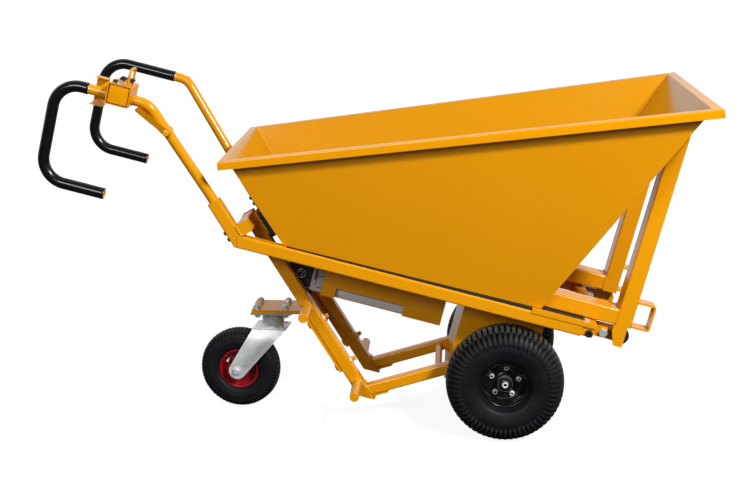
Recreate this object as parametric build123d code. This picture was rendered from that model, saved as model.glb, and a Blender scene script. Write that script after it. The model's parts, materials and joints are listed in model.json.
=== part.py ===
from build123d import *
import math
import os

os.makedirs("parts", exist_ok=True)

# Electric wheelbarrow with a tipping skip, two driven wheels and one castor.
# Lengths are in mm and angles in degrees. +Z is up and +X points to the tipping end.
# The layout starts at the drive axle: X = 0 at the axle, Y = 0 in the middle, Z = 0 on the floor.
# The deck slopes down to the front: u runs along it to the front, v stands square to it,
# and both start on top of the main rails above the axle.
# The finished parts move along X so that the origin lies under the middle of the whole.

# Material and fits
TUBE = 40.0
TUBE_WALL = 3.0
TUBE_CORNER = 6.0
SHEET = 3.0
RUNNING_FIT = 0.05
SLIP_GAP = 0.3
SEAT_GAP = 0.15
JOIN_OVERLAP = 1.0

# Fasteners, as shares of the thread radius
HEX_CORNER = 1.75
HEX_HEAD_HEIGHT = 1.25
NUT_HEIGHT = 1.5
SCREW_HEAD = 1.6
SCREW_HEAD_HEIGHT = 2.0
SCREW_SOCKET = 0.85
HEAD_CHAMFER = 0.15

# Drive wheels
DRIVE_TYRE_DIAMETER = 370.0
DRIVE_TYRE_WIDTH = 136.0
DRIVE_BEAD_DIAMETER = 132.0
DRIVE_RIM_WIDTH = 76.0
DRIVE_TRACK = 464.0
TYRE_SKIN = 9.0
TREAD_SKIN = 11.7
SIDEWALL_MIDDLE = 0.45
SHOULDER_DROP = 0.2
TREAD_SHARE = 0.74
RIM_SHEET = 3.3
RIM_FLANGE = 8.0
DISC_OFFSET = -5.5
DISC_THICKNESS = 5.0
HUB_FLANGE_DIAMETER = 112.0
HUB_FLANGE_THICKNESS = 12.0
HUB_DIAMETER = 46.0
HUB_REACH = 29.5
HUB_INNER_REACH = 60.0
SHAFT_DIAMETER = 25.0
WHEEL_BOLT_COUNT = 5
WHEEL_BOLT_CIRCLE = 90.0
WHEEL_BOLT_DIAMETER = 8.0
WHEEL_BOLT_TURN = 13.0

# Deck and main frame
DECK_SLOPE = 14.0
RAIL_OVER_TYRE = 37.0
RAIL_SPACING = 516.0
RAIL_REAR = -841.5
RAIL_FRONT = 239.0
SOCKET_LEAN = 45.0
SOCKET_LENGTH = 143.0
LEG_SPACING = 260.0
LEG_LEAN = 44.3
FOOT_HEIGHT = 90.2
LEG_TOP = 20.0
LOWER_TUBE = 36.0
LOWER_JOINT_RISE = 21.3
LOWER_RAIL_RISE = 28.0
CROSS_TUBES = (-540.0, -200.0, -90.0, 120.0)
LOWER_CROSS_TUBE = 20.0
LOWER_CROSS_SETBACK = 28.0
PEG_DIAMETER = 30.0
PEG_LENGTH = 128.0
UPPER_PEG_RISE = 37.1
LOWER_PEG_RISE = 56.5
SHOE_LENGTH = 62.0
SHOE_THICKNESS = 5.0

# Rear rest of the skip
REST_START = -10.0
REST_LENGTH = 80.0
REST_THICKNESS = 6.0
BUFFER_START = -2.0
BUFFER_LENGTH = 66.0
BUFFER_INNER = 70.0
BUFFER_OUTER = 148.0

# Rail fronts and tipping hinge
CAP_REAR = 77.0
CAP_FRONT = 280.0
CAP_THICKNESS = 8.0
CAP_LIP = 5.0
CAP_INNER = 188.0
PAD_REAR = 108.0
PAD_FRONT = 240.0
PAD_WIDTH = 68.0
PAD_REVEAL = 24.0
STRIP_REAR = -695.0
PAD_BOLT_PLACE = 250.0
PAD_BOLT_DIAMETER = 10.0
PLUG_REAR = 200.0
PLUG_FRONT = 277.0
PLUG_SCREW_PLACE = (263.0, -25.0)
PLUG_SCREW_DIAMETER = 20.0
PLUG_SCREW_HEIGHT = 5.0
HINGE_PLACE = (366.0, -21.0)
HINGE_PIN_DIAMETER = 20.0
HINGE_PLATE_INNER = 227.0
HINGE_PLATE_THICKNESS = 8.0
HINGE_PLATE_DROP = 33.0
LUG_RADIUS = 28.0
LUG_INNER = 195.0
LUG_THICKNESS = 10.0
BRACKET_REAR = 180.0
BRACKET_FRONT = 322.0
BRACKET_THICKNESS = 10.0
BRACKET_BOLT_PLACE = (310.0, -21.0)
BRACKET_BOLT_DIAMETER = 16.0
FRONT_TUBE_PLACE = 272.0
ROLLER_DIAMETER = 56.0
ROLLER_GAP = 0.5

# Axle housing and drive units
HOUSING_BEHIND_AXLE = 178.7
HOUSING_AHEAD_OF_AXLE = 81.3
HOUSING_BELOW_AXLE = 66.6
HOUSING_WIDTH = 300.0
HOUSING_SHEET = 5.0
GEAR_MODULE = 2.0
WHEEL_GEAR_TEETH = 60
PINION_TEETH = 20
GEAR_WIDTH = 20.0
GEAR_PLAY = 0.15
PRESSURE_ANGLE = 20.0
TOOTH_ROOT = 1.25
FLANK_STEPS = 4
CASE_WALL = 5.0
CASE_CLEARANCE = 3.0
CASE_WIDTH = 40.0
CASE_SKIN = 6.0
MOTOR_DIAMETER = 92.0
MOTOR_LENGTH = 86.0
MOTOR_WALL = 7.0
ROTOR_DIAMETER = 60.0
MOTOR_SHAFT_DIAMETER = 12.0
JOURNAL_DIAMETER = 20.0
JOURNAL_DEPTH = 4.0

# Battery, tray and control unit
TRAY_LENGTH = 393.0
TRAY_DEPTH = 160.5
TRAY_WIDTH = 260.0
TRAY_WINDOW = (45.0, 268.0)
TRAY_WINDOW_TOP = 129.0
BATTERY_WIDTH = 224.0
BATTERY_HEIGHT = 94.0
BATTERY_GROOVES = 4
BATTERY_GROOVE_WIDTH = 9.0
BATTERY_GROOVE_DEPTH = 3.0
END_CAP_LENGTH = 38.0
END_CAP_GAP = 8.1
END_CAP_LATCH = (12.0, 54.0, 5.0)
CONTROL_UNIT_LENGTH = 84.0
CONTROL_UNIT_WIDTH = 180.0
CONTROL_UNIT_HEIGHT = 88.0
SOCKET_RING_DIAMETER = 30.0
SOCKET_RING_LENGTH = 12.0
SOCKET_FORWARD = 6.0

# Castor
WHEELBASE = 756.0
CASTOR_DIAMETER = 267.0
CASTOR_WIDTH = 84.0
CASTOR_TRAIL = 114.0
CASTOR_TURN = -6.0
CASTOR_BEAD_DIAMETER = 122.0
CASTOR_RIM_WIDTH = 60.0
CASTOR_HUB_DIAMETER = 44.0
CASTOR_AXLE_DIAMETER = 12.0
FORK_SHEET = 6.0
FORK_INNER_WIDTH = 98.0
FORK_REAR = 60.0
FORK_FRONT = 50.0
FORK_END_RADIUS = 28.0
FORK_TOP_GAP = 11.0
RACE_HEIGHT = 6.0
RACE_DIAMETER = 60.0
SWIVEL_DIAMETER = 72.0
SWIVEL_HEIGHT = 43.0
KINGPIN_DIAMETER = 20.0
CASTOR_PLATE = (134.0, 112.0, 6.0)
CASTOR_BOLT_SPACING = (92.0, 80.0)
CASTOR_BOLT_DIAMETER = 12.0
CARRIER_THICKNESS = 12.0
CARRIER_WIDTH = 120.0
CARRIER_REAR = 63.0
BACK_PLATE_THICKNESS = 8.0
BACK_PLATE_RISE = 26.1
BACK_PLATE_DROP = 78.9
STRAP_DROP = 203.9
STUD_DIAMETER = 14.0
STUD_HEAD_DIAMETER = 22.4
STUD_DROPS = (23.9, 188.9)
STUD_TOP = 17.0
CLIP_WIRE = 5.0

# Skip: corner places on the deck, sheet walls and turned rim
SKIP_FLOOR_REAR = (-707.0, 2.0)
SKIP_FLOOR_FRONT = (104.0, 10.0)
SKIP_TOP_REAR = (-927.0, 226.0)
SKIP_TOP_FRONT = (389.0, 740.0)
SKIP_FLOOR_WIDTH = 520.0
SKIP_SIDE_FLARE = 0.215
RIM_WIDTH = 26.0
RIM_DROP = 25.0
ARM_TUBE = 50.0
ARM_WIDTH = 80.0
ARM_OUTER = 235.0
ARM_UNDERSIDE = 11.0
POST_FRONT = 390.0
POST_TOP_GAP = 5.0
LOOP_REACH = 57.0
LOOP_BOTTOM = 14.0
LOOP_TOP = 99.0
LOOP_BAR = 6.0
LOOP_WIDTH = 50.0
LOOP_CORNER = 8.0
SKIP_BOLT_PLACES = (166.0, 146.0)
SKIP_BOLT_INSET = 26.0
SKIP_BOLT_DIAMETER = 8.0

# Handles
HANDLE_DIAMETER = 31.0
HANDLE_WALL = 2.6
HANDLE_START = 9.0
HANDLE_STRAIGHT = 165.0
HANDLE_TOP = 328.0
HANDLE_REACH = 1468.0
HANDLE_LOW = 27.0
HANDLE_END = 1266.0
HANDLE_SPREAD = 586.0
HANDLE_BEND = 74.0
ELBOW_BEND = 62.0
SPLAY_BEND = 150.0
GRIP_DIAMETER = 35.0
RIGHT_GRIP_START = 1372.0
LEFT_GRIP_START = 1232.0
CLAMP_PLACES = (40.0, 18.0)
CLAMP_DIAMETER = 8.0

# Controls on the right handle
BOX_REAR = -1308.0
BOX_FRONT = -1239.0
BOX_BOTTOM = 308.0
BOX_TOP = 372.0
BOX_OUTER = 345.0
BOX_INNER = 245.0
BOX_WALL = 2.5
COVER_INSET = 6.0
COVER_THICKNESS = 3.0
GUARD_PLACE = -1252.0
GUARD_TOP = 425.0
GUARD_OUTER = 338.0
GUARD_INNER = 274.0
GUARD_DIAMETER = 8.0
GUARD_BEND = 16.0
ROCKER_PLACE = (-1264.0, 381.0)
ROCKER_MIDDLE = 297.0
ROCKER_OUTLINE = ((-22.5, 3.0), (-16.5, 10.0), (0.0, 7.0), (16.5, 11.0), (22.5, 5.0), (18.5, -1.0),
                  (0.0, -4.0), (-19.5, -1.0))
ROCKER_WIDTH = 20.0
ROCKER_PIN_DIAMETER = 4.0
ROCKER_EAR = 3.0
BUTTON_PLACE = -1294.0
BUTTON_MIDDLE = 318.0
BUTTON_DIAMETER = 15.0
BUTTON_STEM = 12.0
BUTTON_HEIGHT = 4.0
BUTTON_TRAVEL = 3.0
PADDLE_PIVOT = -1320.0
PADDLE_LENGTH = 40.0
PADDLE_HEIGHT = 82.0
PADDLE_OFFSET = 30.0
PADDLE_TOP_FLANGE = 24.0
PADDLE_LOW_FLANGE = 46.0
PADDLE_PIN_DIAMETER = 8.0
PADDLE_BOSS = 16.0
LEVER_PLACE = 393.6
LEVER_LENGTH = 112.0
LEVER_ANGLE = 19.0
LEVER_PIVOT_RADIUS = 13.0
LEVER_TIP_RADIUS = 5.5
LEVER_CHEEK = 20.0
LEVER_BOLT_DIAMETER = 8.0
LEVER_CURL = 8.0

# Values that follow from the sizes above
SLOPE_COS = math.cos(math.radians(DECK_SLOPE))
SLOPE_SIN = math.sin(math.radians(DECK_SLOPE))
HALF = TUBE / 2
DECK_HEIGHT = DRIVE_TYRE_DIAMETER + RAIL_OVER_TYRE + TUBE / SLOPE_COS
AXLE_HEIGHT = DRIVE_TYRE_DIAMETER / 2
AXLE_U = (DECK_HEIGHT - AXLE_HEIGHT) * SLOPE_SIN
AXLE_V = -(DECK_HEIGHT - AXLE_HEIGHT) * SLOPE_COS
HOUSING_REAR = AXLE_U - HOUSING_BEHIND_AXLE
HOUSING_FRONT = AXLE_U + HOUSING_AHEAD_OF_AXLE
HOUSING_DEPTH = HOUSING_BELOW_AXLE - AXLE_V
RAIL_Y = RAIL_SPACING / 2
LEG_Y = LEG_SPACING / 2
WHEEL_Y = DRIVE_TRACK / 2
ARM_Y = ARM_OUTER - ARM_WIDTH / 2
GRIP_Y = HANDLE_SPREAD / 2


def deck_point(u, v, y=0.0):
    """Place on the deck as a point of the whole."""
    return Vector(u * SLOPE_COS + v * SLOPE_SIN, y, DECK_HEIGHT - u * SLOPE_SIN + v * SLOPE_COS)


def deck_vector(u, v, y=0.0):
    """Direction on the deck as a direction of the whole."""
    return Vector(u * SLOPE_COS + v * SLOPE_SIN, y, -u * SLOPE_SIN + v * SLOPE_COS)


def deck_side(y):
    """Upright drawing plane along the deck, u to the right and v up."""
    return Plane(origin=(0, y, DECK_HEIGHT), x_dir=deck_vector(1, 0), z_dir=(0, -1, 0))


def level_side(y):
    """Upright drawing plane with X to the right and Z up."""
    return Plane(origin=(0, y, 0), x_dir=(1, 0, 0), z_dir=(0, -1, 0))


def deck_slab(face, y_low, y_high):
    """Solid from a face drawn in u and v."""
    return extrude(deck_side(y_high) * face, amount=y_high - y_low, dir=(0, -1, 0))


def level_slab(face, y_low, y_high):
    """Solid from a face drawn in X and Z."""
    return extrude(level_side(y_high) * face, amount=y_high - y_low, dir=(0, -1, 0))


def deck_box(u_low, u_high, y_low, y_high, v_low, v_high):
    """Block whose edges follow the deck."""
    face = Polygon((u_low, v_low), (u_high, v_low), (u_high, v_high), (u_low, v_high), align=None)
    return deck_slab(face, y_low, y_high)


def disc_at(place, radius):
    """Round face at a place of a drawing."""
    return Pos(place[0], place[1]) * Circle(radius)


def rod(start, end, radius):
    """Round bar between two points."""
    line = end - start
    return extrude(Plane(origin=start, z_dir=line) * Circle(radius), amount=line.length)


def tube_section(width, height):
    """Outline of a tube with rounded corners and its room inside."""
    room = RectangleRounded(width - 2 * TUBE_WALL, height - 2 * TUBE_WALL, TUBE_CORNER - TUBE_WALL)
    return RectangleRounded(width, height, TUBE_CORNER) - room


def square_tube(start, end, side=TUBE, turn=0.0, width=0.0):
    """Tube between two points, one pair of walls square to Y or turned about the line; width is along Y."""
    line = end - start
    along_y = abs(line.Y) > line.length / 2
    section = tube_section(width or side, side)
    plane = Plane(origin=start, x_dir=deck_vector(1, 0) if along_y else (0, 1, 0), z_dir=line)
    return extrude(plane * Rot(0, 0, turn) * section, amount=line.length)


def trim(shape, point, outward):
    """Cut a shape off square to the outward direction at a point."""
    return split(shape, bisect_by=Plane(origin=point, z_dir=outward), keep=Keep.BOTTOM)


def both_sides(shape):
    """A right-hand shape and its left-hand twin."""
    return [shape, mirror(shape, about=Plane.XZ)]


def hexahedron(outer, inner):
    """Block between two four-cornered faces given by deck places (u, y, v)."""
    faces = [outer, inner[::-1]]
    for i in range(4):
        j = (i + 1) % 4
        faces.append([outer[j], outer[i], inner[i], inner[j]])
    shell = Shell([Face(Wire.make_polygon([deck_point(u, v, y) for u, y, v in face])) for face in faces])
    solid = Solid(shell)
    return solid if solid.volume > 0 else -solid


def hex_bolt(radius, length):
    """Bolt with its head above the origin and its shank below."""
    head = extrude(RegularPolygon(HEX_CORNER * radius, 6), amount=HEX_HEAD_HEIGHT * radius)
    head = chamfer(head.edges().group_by(Axis.Z)[-1], HEAD_CHAMFER * radius)
    return head + rod(Vector(0, 0, 0), Vector(0, 0, -length), radius)


def hex_nut(radius):
    """Nut that stands on the origin, with a fitted bore."""
    nut = extrude(RegularPolygon(HEX_CORNER * radius, 6), amount=NUT_HEIGHT * radius)
    return nut - Cylinder(radius + RUNNING_FIT, 4 * radius)


def socket_screw(radius, length):
    """Socket head screw with its head above the origin."""
    height = SCREW_HEAD_HEIGHT * radius
    head = Cylinder(SCREW_HEAD * radius, height, align=(Align.CENTER, Align.CENTER, Align.MIN))
    head = chamfer(head.edges().group_by(Axis.Z)[-1], HEAD_CHAMFER * radius)
    socket = Pos(0, 0, height / 2) * extrude(RegularPolygon(SCREW_SOCKET * radius, 6), amount=height)
    return head - socket + rod(Vector(0, 0, 0), Vector(0, 0, -length), radius)


def save(name, *shapes):
    """Write one node, moved to the shared origin."""
    solids = []
    for shape in shapes:
        solids.extend(shape.solids())
    moved = [Pos(FRAME_SHIFT, 0, 0) * solid for solid in solids]
    export_step(moved[0] if len(moved) == 1 else Compound(children=moved), "parts/" + name + ".step")


# Frame tubes


def socket_place(along, aside=0.0):
    """Deck place along a handle socket, and square to it towards the front."""
    lean = math.radians(SOCKET_LEAN)
    u = RAIL_REAR - along * math.cos(lean) + aside * math.sin(lean)
    v = -HALF + along * math.sin(lean) + aside * math.cos(lean)
    return u, v


def leg_place(along, aside=0.0):
    """Deck place along a leg from the stub beam, and square to it towards the front."""
    lean = math.radians(LEG_LEAN)
    start_u, start_v = socket_place(HALF * math.tan(math.radians(SOCKET_LEAN / 2)) + HALF, TUBE)
    u = start_u + along * math.cos(lean) + aside * math.sin(lean)
    v = start_v - along * math.sin(lean) + aside * math.cos(lean)
    return u, v


def leg_front_at(v):
    """Place along the deck where the front of the legs passes a height v."""
    top_u, top_v = leg_place(0, HALF)
    return top_u + (top_v - v) / math.tan(math.radians(LEG_LEAN))


LEG_LINE = deck_vector(math.cos(math.radians(LEG_LEAN)), -math.sin(math.radians(LEG_LEAN)))
LEG_FRONT = deck_vector(math.sin(math.radians(LEG_LEAN)), math.cos(math.radians(LEG_LEAN)))
MITRE = deck_vector(math.cos(math.radians(SOCKET_LEAN / 2)), -math.sin(math.radians(SOCKET_LEAN / 2)))
LEG_LENGTH = (FOOT_HEIGHT - deck_point(*leg_place(0)).Z) / LEG_LINE.Z
LOWER_JOINT = LEG_LENGTH - LOWER_JOINT_RISE


def main_rail():
    """Sloping rail, mitred to the handle socket at the rear."""
    rail = square_tube(deck_point(RAIL_REAR - TUBE, -HALF, -RAIL_Y), deck_point(RAIL_FRONT, -HALF, -RAIL_Y))
    return trim(rail, deck_point(RAIL_REAR, -HALF), -MITRE)


def handle_socket():
    """Leaning tube that takes the handle, drilled for its clamp screws."""
    tube = square_tube(deck_point(*socket_place(-TUBE), -RAIL_Y),
                       deck_point(*socket_place(SOCKET_LENGTH), -RAIL_Y))
    tube = trim(tube, deck_point(RAIL_REAR, -HALF), MITRE)
    for along in CLAMP_PLACES:
        inside = deck_point(*socket_place(along), -RAIL_Y)
        outside = deck_point(*socket_place(along, -TUBE), -RAIL_Y)
        tube -= rod(inside, outside, CLAMP_DIAMETER / 2 + RUNNING_FIT)
    return tube


def stub_beam():
    """Short beam from the rail corner in to the leg, closed outside, one wall flat on the handle socket."""
    middle = leg_place(0)
    outer = deck_point(*middle, -RAIL_Y - HALF)
    inner = deck_point(*middle, -LEG_Y - HALF)
    tube = square_tube(outer, inner, turn=SOCKET_LEAN)
    section = RectangleRounded(TUBE, TUBE, TUBE_CORNER)
    plane = Plane(origin=outer, x_dir=deck_vector(1, 0), z_dir=inner - outer)
    return tube + extrude(plane * Rot(0, 0, SOCKET_LEAN) * section, amount=TUBE_WALL)


def leg():
    """Leaning leg, cut level with the deck at the foot and drilled for the carrier studs."""
    tube = square_tube(deck_point(*leg_place(-LEG_TOP), -LEG_Y),
                       deck_point(*leg_place(LEG_LENGTH + TUBE), -LEG_Y))
    tube = trim(tube, deck_point(*leg_place(LEG_LENGTH)), deck_vector(0, -1))
    for along in STUD_PLACES:
        start = deck_point(*leg_place(along, -TUBE), -LEG_Y)
        end = deck_point(*leg_place(along, TUBE), -LEG_Y)
        tube -= rod(start, end, STUD_DIAMETER / 2 + RUNNING_FIT)
    return tube


LOWER_START = leg_place(LOWER_JOINT)
LOWER_END = (HOUSING_REAR, LOWER_RAIL_RISE - HOUSING_DEPTH)
LOWER_RUN = math.hypot(LOWER_END[0] - LOWER_START[0], LOWER_END[1] - LOWER_START[1])


def lower_place(along, aside=0.0):
    """Deck place along a lower rail from its joint with the leg, and square to it upwards."""
    du = (LOWER_END[0] - LOWER_START[0]) / LOWER_RUN
    dv = (LOWER_END[1] - LOWER_START[1]) / LOWER_RUN
    return LOWER_START[0] + along * du - aside * dv, LOWER_START[1] + along * dv + aside * du


def lower_rail():
    """Rail from the front of the leg to the axle housing."""
    start = deck_point(*lower_place(-TUBE), -LEG_Y)
    rail = square_tube(start, deck_point(*lower_place(LOWER_RUN + TUBE), -LEG_Y), side=LOWER_TUBE)
    rail = trim(rail, deck_point(*leg_place(LOWER_JOINT, HALF)), -LEG_FRONT)
    return trim(rail, deck_point(*LOWER_END), deck_vector(1, 0))


def skid_shoe():
    """Wear plate under the corner of leg and lower rail."""
    under = -LOWER_TUBE / 2
    tip = HALF + SHOE_LENGTH
    corners = [lower_place(0, under), lower_place(tip, under)]
    corners += [lower_place(tip - SHOE_THICKNESS, under - SHOE_THICKNESS),
                lower_place(0, under - SHOE_THICKNESS)]
    plate = deck_slab(Polygon(*corners, align=None), -LEG_Y + under, -LEG_Y - under)
    return trim(plate, deck_point(*leg_place(LOWER_JOINT, HALF)), -LEG_FRONT)


def cross_members():
    """Tubes between the main rails, the front tube at the hinge, the lower tube and the rest plate."""
    reach = RAIL_Y - HALF
    tubes = [square_tube(deck_point(u, -HALF, -reach), deck_point(u, -HALF, reach)) for u in CROSS_TUBES]
    tubes.append(square_tube(deck_point(FRONT_TUBE_PLACE, -HALF, -LUG_INNER),
                             deck_point(FRONT_TUBE_PLACE, -HALF, LUG_INNER)))
    low = lower_place(LOWER_RUN - LOWER_CROSS_SETBACK)
    low_reach = LEG_Y - LOWER_TUBE / 2
    slant = math.degrees(math.atan2(LOWER_END[1] - LOWER_START[1], LOWER_END[0] - LOWER_START[0]))
    tubes.append(square_tube(deck_point(*low, -low_reach), deck_point(*low, low_reach),
                             side=LOWER_CROSS_TUBE, turn=-slant))
    corners = [leg_place(REST_START, HALF), leg_place(REST_START + REST_LENGTH, HALF)]
    corners += [leg_place(REST_START + REST_LENGTH, HALF + REST_THICKNESS)]
    corners += [leg_place(REST_START, HALF + REST_THICKNESS)]
    rest = deck_slab(Polygon(*corners, align=None), -LEG_Y - HALF, LEG_Y + HALF)
    return tubes + [rest]


def leg_peg(along):
    """Round peg that stands out from the leg."""
    place = leg_place(along)
    outer = deck_point(*place, -LEG_Y - HALF - PEG_LENGTH)
    peg = rod(deck_point(*place, -LEG_Y - HALF), outer, PEG_DIAMETER / 2)
    return fillet(peg.edges().sort_by(Axis.Y)[0], SHEET / 2)


# Skip


def wall_plane(start, end, outward_left, inset):
    """Plane of a skip wall through two deck places: its outward direction and its distance."""
    run = math.hypot(end[0] - start[0], end[1] - start[1])
    du, dv = (end[0] - start[0]) / run, (end[1] - start[1]) / run
    outward = Vector(-dv, 0, du) if outward_left else Vector(dv, 0, -du)
    return outward, outward.dot(Vector(start[0], 0, start[1])) - inset


def side_wall_plane(side, inset):
    """Plane of the left (1) or right (-1) skip wall, leaning out from the floor edge."""
    floor, distance = wall_plane(SKIP_FLOOR_REAR, SKIP_FLOOR_FRONT, False, 0)
    size = math.hypot(1, SKIP_SIDE_FLARE)
    outward = (Vector(0, side, 0) + floor * SKIP_SIDE_FLARE) / size
    return outward, (SKIP_FLOOR_WIDTH / 2 + SKIP_SIDE_FLARE * distance) / size - inset


def meeting_place(first, second, third):
    """Place (u, y, v) where three wall planes meet."""
    (a, i), (b, j), (c, k) = first, second, third
    place = (b.cross(c) * i + c.cross(a) * j + a.cross(b) * k) / a.dot(b.cross(c))
    return place.X, place.Y, place.Z


def skip_corner(end, side, level, inset):
    """Corner of the skip: end -1 rear or 1 front, side -1 or 1, level 0 floor or 1 rim."""
    floor = wall_plane(SKIP_FLOOR_REAR, SKIP_FLOOR_FRONT, False, inset)
    top = wall_plane(SKIP_TOP_REAR, SKIP_TOP_FRONT, True, 0)
    rear = wall_plane(SKIP_FLOOR_REAR, SKIP_TOP_REAR, True, inset)
    front = wall_plane(SKIP_FLOOR_FRONT, SKIP_TOP_FRONT, False, inset)
    across = rear if end < 0 else front
    return meeting_place(top if level else floor, across, side_wall_plane(side, inset))


def skip_panel(corners):
    """Sheet panel between its outside and inside corners."""
    return hexahedron([skip_corner(*corner, 0) for corner in corners],
                      [skip_corner(*corner, SHEET) for corner in corners])


def skip_panels():
    """Floor, two sides, rear and front wall, mitred together."""
    floor = [(-1, -1, 0), (1, -1, 0), (1, 1, 0), (-1, 1, 0)]
    panels = [skip_panel(floor)]
    for side in (-1, 1):
        panels.append(skip_panel([(-1, side, 0), (1, side, 0), (1, side, 1), (-1, side, 1)]))
    for end in (-1, 1):
        panels.append(skip_panel([(end, -1, 0), (end, 1, 0), (end, 1, 1), (end, -1, 1)]))
    return panels


def rim_corner(end, side, offset, height):
    """Deck place of a rim corner, moved out in the rim plane and up square to it."""
    run = math.hypot(SKIP_TOP_FRONT[0] - SKIP_TOP_REAR[0], SKIP_TOP_FRONT[1] - SKIP_TOP_REAR[1])
    du = (SKIP_TOP_FRONT[0] - SKIP_TOP_REAR[0]) / run
    dv = (SKIP_TOP_FRONT[1] - SKIP_TOP_REAR[1]) / run
    rear_half = skip_corner(-1, 1, 1, 0)[1]
    taper = (skip_corner(1, 1, 1, 0)[1] - rear_half) / run
    along = -offset if end < 0 else run + offset
    half = rear_half + taper * along + offset * math.hypot(1, taper)
    u = SKIP_TOP_REAR[0] + along * du - height * dv
    v = SKIP_TOP_REAR[1] + along * dv + height * du
    return u, side * half, v


def rim_bar(first, second):
    """Turned-down edge between two corners of the rim: a flange and its lip."""
    def frame(offset_in, offset_out, height):
        inner = [rim_corner(*first, offset_in, height), rim_corner(*second, offset_in, height)]
        outer = [rim_corner(*second, offset_out, height), rim_corner(*first, offset_out, height)]
        return inner + outer

    flange = hexahedron(frame(0, RIM_WIDTH, 0), frame(0, RIM_WIDTH, -SHEET))
    lip = hexahedron(frame(RIM_WIDTH - SHEET, RIM_WIDTH, -SHEET),
                     frame(RIM_WIDTH - SHEET, RIM_WIDTH, -RIM_DROP))
    return flange + lip


def skip_rim():
    """Four mitred bars of the rim."""
    ring = [(-1, -1), (1, -1), (1, 1), (-1, 1)]
    return [rim_bar(ring[i], ring[(i + 1) % 4]) for i in range(4)]


def front_wall_outward():
    """Outward direction of the front wall."""
    outward = wall_plane(SKIP_FLOOR_FRONT, SKIP_TOP_FRONT, False, 0)[0]
    return deck_vector(outward.X, outward.Z)


def skip_arm():
    """Tube under the front of the skip, from the front wall to the post."""
    v = ARM_UNDERSIDE + ARM_TUBE / 2
    rear = deck_point(SKIP_FLOOR_FRONT[0] - ARM_TUBE, v, -ARM_Y)
    front = deck_point(POST_FRONT - ARM_TUBE, v, -ARM_Y)
    arm = square_tube(rear, front, side=ARM_TUBE, width=ARM_WIDTH)
    return trim(arm, deck_point(*SKIP_FLOOR_FRONT), -front_wall_outward())


def skip_post():
    """Tube from the arm up to the underside of the front wall."""
    u = POST_FRONT - ARM_TUBE / 2
    post = square_tube(deck_point(u, ARM_UNDERSIDE, -ARM_Y), deck_point(u, SKIP_TOP_FRONT[1], -ARM_Y),
                       side=ARM_TUBE, width=ARM_WIDTH)
    post = trim(post, deck_point(*SKIP_FLOOR_FRONT), -front_wall_outward())
    place = rim_corner(1, 1, 0, -POST_TOP_GAP)
    outward = wall_plane(SKIP_TOP_REAR, SKIP_TOP_FRONT, True, 0)[0]
    return trim(post, deck_point(place[0], place[2]), deck_vector(outward.X, outward.Z))


def front_loop():
    """Rectangular loop of flat bar in front of the post."""
    tip = POST_FRONT + LOOP_REACH
    outline = Polygon((POST_FRONT, LOOP_BOTTOM), (tip, LOOP_BOTTOM), (tip, LOOP_TOP),
                      (POST_FRONT, LOOP_TOP), align=None)
    low, high = LOOP_BOTTOM + LOOP_BAR, LOOP_TOP - LOOP_BAR
    rear, front = POST_FRONT - LOOP_BAR, tip - LOOP_BAR
    hole = Polygon((rear, low), (front, low), (front, high), (rear, high), align=None)
    outer_corners = outline.vertices().sort_by(Axis.X)[-2:]
    inner_corners = hole.vertices().sort_by(Axis.X)[-2:]
    bar = fillet(outer_corners, LOOP_CORNER) - fillet(inner_corners, LOOP_CORNER - LOOP_BAR)
    return deck_slab(bar, -ARM_OUTER, -ARM_OUTER + LOOP_WIDTH)


def hinge_plate():
    """Plate that hangs from the skip arm and carries the hinge pin."""
    u, v = HINGE_PLACE
    rear = u - LUG_RADIUS - JOIN_OVERLAP
    front = u + LUG_RADIUS / 2
    corners = [(rear, ARM_UNDERSIDE), (front, ARM_UNDERSIDE), (front, v - HINGE_PLATE_DROP)]
    corners += [(u - LUG_RADIUS / 2, v - HINGE_PLATE_DROP), (rear, v + LUG_RADIUS / 3)]
    plate = Polygon(*corners, align=None) - disc_at(HINGE_PLACE, HINGE_PIN_DIAMETER / 2 + RUNNING_FIT)
    return deck_slab(plate, -HINGE_PLATE_INNER - HINGE_PLATE_THICKNESS, -HINGE_PLATE_INNER)


def hinge_pin():
    """Pin through hinge plate, roller and lug."""
    outer = -HINGE_PLATE_INNER - HINGE_PLATE_THICKNESS
    pin = rod(deck_point(*HINGE_PLACE, outer), deck_point(*HINGE_PLACE, -LUG_INNER + SHEET),
              HINGE_PIN_DIAMETER / 2)
    return chamfer(pin.edges(), SLIP_GAP)


def hinge_roller():
    """Roller on the hinge pin between plate and lug."""
    bore = disc_at(HINGE_PLACE, HINGE_PIN_DIAMETER / 2 + RUNNING_FIT)
    ring = disc_at(HINGE_PLACE, ROLLER_DIAMETER / 2) - bore
    return deck_slab(ring, -HINGE_PLATE_INNER + ROLLER_GAP, -LUG_INNER - LUG_THICKNESS - ROLLER_GAP)


def skip_bolt(along):
    """Bolt on the rear wall near its lower corner."""
    outward = wall_plane(SKIP_FLOOR_REAR, SKIP_TOP_REAR, True, 0)[0]
    run = math.hypot(SKIP_TOP_REAR[0] - SKIP_FLOOR_REAR[0], SKIP_TOP_REAR[1] - SKIP_FLOOR_REAR[1])
    u = SKIP_FLOOR_REAR[0] + along * (SKIP_TOP_REAR[0] - SKIP_FLOOR_REAR[0]) / run
    v = SKIP_FLOOR_REAR[1] + along * (SKIP_TOP_REAR[1] - SKIP_FLOOR_REAR[1]) / run
    y = -SKIP_FLOOR_WIDTH / 2 + SKIP_BOLT_INSET
    plane = Plane(origin=deck_point(u, v, y), x_dir=(0, 1, 0), z_dir=deck_vector(outward.X, outward.Z))
    radius = SKIP_BOLT_DIAMETER / 2
    return plane * extrude(RegularPolygon(HEX_CORNER * radius, 6), amount=NUT_HEIGHT * radius)


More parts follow.
